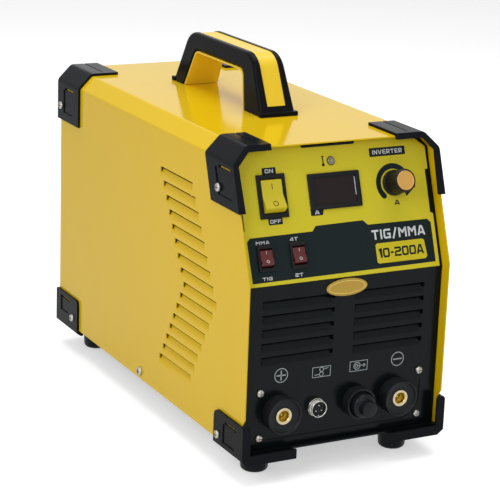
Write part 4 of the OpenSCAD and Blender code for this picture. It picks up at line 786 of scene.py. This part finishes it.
def fit_torch_cap():
    """Rubber cap of the torch port: a dome in the collar and the grip at its end."""
    cap = turned("torch_cap_grip", TORCH_CAP, place_front(TORCH_X, 0, SOCKET_UP), steps=72)
    wear(cap, RUBBER, "torch_cap")
    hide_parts("torch_port_cap")


def dress_outputs():
    fit_output("plus", PLUS_X)
    fit_output("minus", MINUS_X)
    fit_control_socket()
    soften("torch_port_body", SOCKET_BLACK, edge=0.5)
    soften("torch_port_spigot", BRASS, edge=0.2)
    fit_torch_cap()


def dress_rear_and_inside():
    soften("fan_frame", SWITCH_BLACK)
    soften("fan_rotor", SWITCH_BLACK, body="fan", edge=0.3)
    dress(NODES["fan_guard"], NICKEL)
    soften("mains_gland", SWITCH_BLACK)
    for node, material in (("gas_inlet", BRASS), ("earth_stud", BRASS), ("gas_valve", GREY_PARTS),
                           ("gas_hose", RUBBER), ("heat_sinks", ALUMINIUM), ("power_board", BOARD_GREEN),
                           ("control_board", BOARD_GREEN), ("board_parts", PARTS_AND_SHADE_DARK),
                           ("main_transformer", PARTS_AND_SHADE_DARK), ("busbars", COPPER)):
        dress(NODES[node], material)


# ---- Printing on the control face, on which x runs across and y up the slope ----
LAYER = 2 * PRINT_THICK
FIELD = [(-82.1, 3.1), (-82.7, 35.1), (-79.9, 37.9), (-25.2, 38.3), (-21.9, 42.3), (20.6, 42.8), (24.7, 38.9),
         (79.5, 38.6), (82.6, 35.6), (82.8, 4.1)]
EDGE_BAR = [(-27.3, 105.0), (-25.4, 103.3), (20.6, 103.3), (22.2, 105.0)]
AMP_TAB = [(-24.6, 56), (-24.6, 50.6), (-24.1, 50.1), (-14.4, 50.1), (-13.9, 50.6), (-12.6, 56)]
RANGE_BOX = [(29.2, 9.0), (30.6, 7.5), (73.6, 7.5), (75.6, 9.4), (74.2, 22.2), (72.6, 23.4), (30.4, 23.4),
             (29.2, 22.0)]
SWEEP_OUTER, SWEEP_INNER, SWEEP_START, SWEEP = 15.8, 11.4, 225.0, -231.0
THERMOMETER_X = -8.4

# Words in white: name, words, height, span, middle, weight and gap.
WHITE_WORDS = (
    ("on", "ON", 3.0, 7.2, (-56.65, 87.8), 0.2, 0.16),
    ("off", "OFF", 2.9, 9.4, (-56.1, 48.9), 0.2, 0.16),
    ("inverter", "INVERTER", 3.5, 27.4, (50.4, 95.1), 0.18, 0.24),
    ("mma", "MMA", 2.6, 11.6, (-69.6, 33.6), 0.17, 0.3),
    ("tig", "TIG", 2.5, 8.6, (-69.0, 5.9), 0.2, 0.16),
    ("four", "4T", 2.7, 6.8, (-42.4, 34.0), 0.2, 0.16),
    ("two", "2T", 2.6, 6.9, (-41.4, 6.2), 0.2, 0.16),
    ("amps", "A", 3.2, 4.0, (-19.0, 52.7), 0.22, 0.16),
    ("process_words", "TIG/MMA", 7.8, 49.0, (51.5, 30.3), 0.19, 0.24),
)


def film(x, up, lift=0.0):
    return place_lean(x, FILM_OUT + PRINT_THICK + lift, up)


def draw_knob_scale():
    """Outlines of the clockwise arrow round the knob: its band with a round start, and its head."""
    steps = 48
    rim = ring_outline(SWEEP_OUTER, steps, KNOB, SWEEP_START, SWEEP)
    hollow = ring_outline(SWEEP_INNER, steps, KNOB, SWEEP_START, SWEEP)
    middle = on_circle((SWEEP_OUTER + SWEEP_INNER) / 2, SWEEP_START, KNOB)
    cap = ring_outline((SWEEP_OUTER - SWEEP_INNER) / 2, 8, middle, SWEEP_START + 180, -180)
    end = SWEEP_START + SWEEP
    head = [on_circle(21.0, end - 4, KNOB), on_circle(15.6, end - 41, KNOB), on_circle(7.5, end - 4, KNOB)]
    return rim + hollow[::-1] + cap, head


def print_control_face():
    slots = [rounded_box(13.0, 19.0, 0.5, PROCESS_SWITCH), rounded_box(13.0, 19.0, 0.5, TRIGGER_SWITCH)]
    sweep, head = draw_knob_scale()
    face = film(0, 0)
    black = [flat_shape(name, outlines, face) for name, outlines in (
        ("field", [FIELD] + slots),
        ("on_tab", [rounded_box(12.1, 5.6, 0.8, (-56.65, 87.7))]),
        ("off_tab", [rounded_box(12.2, 5.6, 0.8, (-56.1, 49.1))]),
        ("inverter_tab", [rounded_box(33.0, 6.9, 0.8, (50.4, 95.1))]),
        ("edge_bar", [EDGE_BAR]),
        ("amp_tab", [AMP_TAB]),
    )]
    black.append(block_letters("knob_letter", "A", 3.9, 4.6, film(53.9, 54.1), weight=0.25))
    black += [flat_shape(name, outlines, face) for name, outlines in (
        ("knob_sweep", [sweep]),
        ("knob_arrow", [head]),
        ("warm_stem", [rounded_box(1.0, 7.4, 0.45, (THERMOMETER_X, 92.2))]),
        ("warm_bulb", [ring_outline(1.3, 16, (THERMOMETER_X, 88.9))]),
        ("warm_tick", [rounded_box(2.6, 0.7, 0.3, (THERMOMETER_X, 95.4))]),
        ("lamp_ring", [ring_outline(3.7, 28, LAMP), ring_outline(3.15, 28, LAMP)]),
    )]
    wear(join(black, "control_print_black"), PRINT_BLACK)
    white = [block_letters(name, words, height, span, film(*middle, LAYER), weight, gap)
             for name, words, height, span, middle, weight, gap in WHITE_WORDS]
    wear(join(white, "control_print_white"), PRINT_WHITE)
    wear(flat_shape("control_print_yellow", [RANGE_BOX], film(0, 0, LAYER)), PRINT_YELLOW)
    wear(block_letters("control_print_range", "10-200A", 7.6, 41.0, film(52.2, 15.5, 2 * LAYER)), PRINT_BLACK)


def fit_meter_bezel():
    """Raised frame round the meter's window, and a pale strip inside it that is a painted glint where the window's
    inner edge catches the light.
    """
    rise = 0.45
    bezel = flat_shape("meter_bezel", [rounded_box(46.4, 28.4, 0.9, METER), rounded_box(36.6, 21.4, 0.5, (-0.4, 68.5))],
                       place_lean(0, LENS_OUT + rise, 0), thick=rise)
    weld_flat(bezel, 1)
    wear(settle(round_edges(bezel, 0.3, 2)), SWITCH_BLACK)
    # Painted highlight: a pale strip where the window's right inner wall catches the light
    edge = flat_shape("meter_painted_glint_strip", [rounded_box(0.55, 14.4, 0.25, (17.3, 70.6))],
                      place_lean(0, LENS_OUT + 0.2, 0), thick=0.2)
    wear(edge, PAINTED_GLINT)


def trim_badge():
    """Raised border line inside the rim of the oval plate."""
    line = flat_shape("badge_border", [ellipse(16.6, 5.4, BADGE), ellipse(16.0, 4.9, BADGE)],
                      place_front(0, 0.95, 0), thick=0.1)
    wear(line, BADGE_RIM)


def shade_the_louvres():
    """Dark sheet behind the front louvres, put there as painted shade that hides the light coming through the far
    side's louvres.
    """
    # Painted shade: a dark sheet where the inside of the case is only in shade
    sheet = flat_shape("louvre_shade_sheet", [rounded_box(160, 75, 2, (0, 92.5))], place_front(0, -11.25, 0), thick=0.25)
    wear(sheet, PARTS_AND_SHADE_DARK)


def print_output_signs():
    """Plus, minus, control plug and gas signs above the four outputs."""
    at = place_front(0, PRINT_THICK, 0)
    signs = [
        line_circle("plus_ring", 6.0, 0.7, (-54.4, 60.2), at),
        bar("plus_a", (-58.4, 60.2), (-50.4, 60.2), 1.0, at),
        bar("plus_b", (-54.4, 56.2), (-54.4, 64.2), 1.0, at),
        line_circle("minus_ring", 6.0, 0.7, (51.6, 60.0), at),
        bar("minus_a", (47.4, 60.0), (55.8, 60.0), 1.0, at),
    ]
    for left, right, low, high in ((-26.6, -10.0, 54.1, 62.9), (7.3, 23.7, 54.6, 63.3)):
        middle = ((left + right) / 2, (low + high) / 2)
        signs.append(flat_shape("sign_box", [rounded_box(right - left, high - low, 0.4, middle),
                                             rounded_box(right - left - 1.0, high - low - 1.0, 0.2, middle)], at))
    signs += [
        line_circle("plug_a", 2.0, 0.55, (-18.3, 60.5), at),
        line_circle("plug_b", 2.0, 0.55, (-18.3, 56.5), at),
        bar("plug_c", (-24.6, 56.2), (-20.2, 56.5), 0.55, at),
        bar("plug_d", (-16.4, 60.6), (-12.2, 61.2), 0.55, at),
        line_circle("gas_a", 3.1, 0.6, (14.0, 59.0), at),
        line_circle("gas_b", 1.5, 0.5, (13.6, 59.0), at),
        bar("gas_c", (14.0, 59.0), (21.6, 59.0), 0.6, at),
        bar("gas_d", (19.9, 60.3), (21.8, 59.0), 0.6, at),
        bar("gas_e", (19.9, 57.7), (21.8, 59.0), 0.6, at),
    ]
    wear(join(signs, "output_signs"), PRINT_GREY)


# ---- Marks on the rockers ----
ROCKER_OUT = 2.9          # plane of a rocker's pressed half in front of the panel
ROCKER_FOLD = 0.94        # line above a rocker's middle where its raised half starts
ROCKER_SLOPE = math.radians(24)


def rocker_marks(body, middle, line_up, line_height, ring_up, ring_radius, stroke, material):
    """The I on a rocker's pressed half and the O on its raised half."""
    flat = place_lean(middle[0], ROCKER_OUT + PRINT_THICK * 0.5, middle[1])
    line = flat_shape(body + "_line", [rounded_box(stroke, line_height, stroke * 0.3, (0, line_up))], flat)
    slope = flat @ Matrix.Translation((0, ROCKER_FOLD * MM, 0)) @ Matrix.Rotation(-ROCKER_SLOPE, 4, "X")
    ring = flat_shape(body + "_ring", [ring_outline(ring_radius, 28, (0, ring_up)),
                                       ring_outline(ring_radius - stroke, 28, (0, ring_up))], slope)
    wear(join([line, ring], body + "_marks"), material, body)


def mark_rockers():
    rocker_marks("main_rocker", MAIN_SWITCH, 7.4, 4.6, -7.6, 2.3, 0.6, PRINT_BLACK)
    rocker_marks("process_rocker", PROCESS_SWITCH, 4.2, 2.6, -3.8, 1.25, 0.34, PRINT_WHITE)
    rocker_marks("trigger_rocker", TRIGGER_SWITCH, 4.2, 2.6, -3.8, 1.25, 0.34, PRINT_WHITE)


# ---- Floor, light and camera ----
FLOOR_GLOW = 0.5          # light of the floor itself, for rays that see it straight
WORLD_FILL = 0.32         # strength of the world where it only lights the object
RENDER_PX = 500
FOCAL_PX = 1874.12
AXIS_PX = 243.49          # column of the render on the camera's axis
CAMERA_TURNS = (-27.9, 16.14, 2.05)             # azimuth, elevation and roll in degrees
CAMERA_PLACE = (-724.57, -1186.83 + FRONT_Y, 557.04 + PAN_Z)      # in millimetres


def seen_straight(tree):
    """One for rays that show the background itself: to the camera, in a mirror and through glass."""
    path = add_node(tree, "ShaderNodeLightPath").outputs
    first = calculate(tree, "MAXIMUM", path["Is Camera Ray"], path["Is Glossy Ray"])
    return calculate(tree, "MAXIMUM", first, path["Is Transmission Ray"])


def make_stage():
    bpy.ops.mesh.primitive_plane_add(size=30, location=(0, 0, -0.0002))
    floor = bpy.context.object
    floor.name = "floor"
    material = bpy.data.materials.new("pale_floor")
    material.use_nodes = True
    tree = material.node_tree
    shader = tree.nodes["Principled BSDF"]
    shader.inputs["Base Color"].default_value = (0.86, 0.86, 0.86, 1)
    shader.inputs["Roughness"].default_value = 0.9
    shader.inputs["Specular IOR Level"].default_value = 0.1
    glow = add_node(tree, "ShaderNodeEmission")
    feed(tree, glow.inputs["Strength"], calculate(tree, "MULTIPLY", seen_straight(tree), FLOOR_GLOW))
    both = add_node(tree, "ShaderNodeAddShader")
    feed(tree, both.inputs[0], shader.outputs[0])
    feed(tree, both.inputs[1], glow.outputs[0])
    feed(tree, tree.nodes["Material Output"].inputs["Surface"], both.outputs[0])
    floor.data.materials.append(material)


def add_lamp(name, place, target, size, power):
    data = bpy.data.lights.new(name, "AREA")
    data.shape = "RECTANGLE"
    data.size, data.size_y = size
    data.energy = power
    lamp = bpy.data.objects.new(name, data)
    bpy.context.scene.collection.objects.link(lamp)
    lamp.location = place
    lamp.rotation_mode = "QUATERNION"
    lamp.rotation_quaternion = (Vector(target) - Vector(place)).to_track_quat("-Z", "Y")


def make_light():
    world = bpy.data.worlds.new("studio")
    bpy.context.scene.world = world
    world.use_nodes = True
    tree = world.node_tree
    back = tree.nodes["Background"]
    back.inputs["Color"].default_value = (1, 1, 1, 1)
    feed(tree, back.inputs["Strength"], calculate(tree, "MAXIMUM", seen_straight(tree), WORLD_FILL))
    add_lamp("key_left", (-0.9, -0.55, 0.75), (0, 0, 0.15), (0.7, 0.7), 4.8)
    add_lamp("top_soft", (0.1, 0.2, 1.9), (0, 0, 0.2), (1.6, 1.6), 24)
    add_lamp("front_fill", (-0.1, -2.2, 1.2), (0, 0, 0.15), (1.0, 0.8), 7)


def make_camera():
    data = bpy.data.cameras.new("camera")
    data.sensor_width = 36
    data.lens = FOCAL_PX / RENDER_PX * 36
    data.shift_x = (RENDER_PX / 2 - AXIS_PX) / RENDER_PX
    data.clip_start = 0.05
    camera = bpy.data.objects.new("camera", data)
    bpy.context.scene.collection.objects.link(camera)
    azimuth, elevation, roll = (math.radians(turn) for turn in CAMERA_TURNS)
    back = Vector((math.sin(azimuth) * math.cos(elevation), -math.cos(azimuth) * math.cos(elevation),
                   math.sin(elevation)))
    right = Vector((math.cos(azimuth), math.sin(azimuth), 0))
    up = back.cross(right)
    turned_right = math.cos(roll) * right + math.sin(roll) * up
    turned_up = -math.sin(roll) * right + math.cos(roll) * up
    turn = Matrix((turned_right, turned_up, back)).transposed().to_4x4()
    camera.matrix_world = Matrix.Translation(Vector(CAMERA_PLACE) * MM) @ turn
    bpy.context.scene.camera = camera


make_camera()
make_light()
make_stage()
dress_case()
build_handle()
dress_controls()
dress_outputs()
dress_rear_and_inside()
print_control_face()
fit_meter_bezel()
trim_badge()
shade_the_louvres()
print_output_signs()
mark_rockers()

bpy.context.scene.view_settings.view_transform = "Standard"
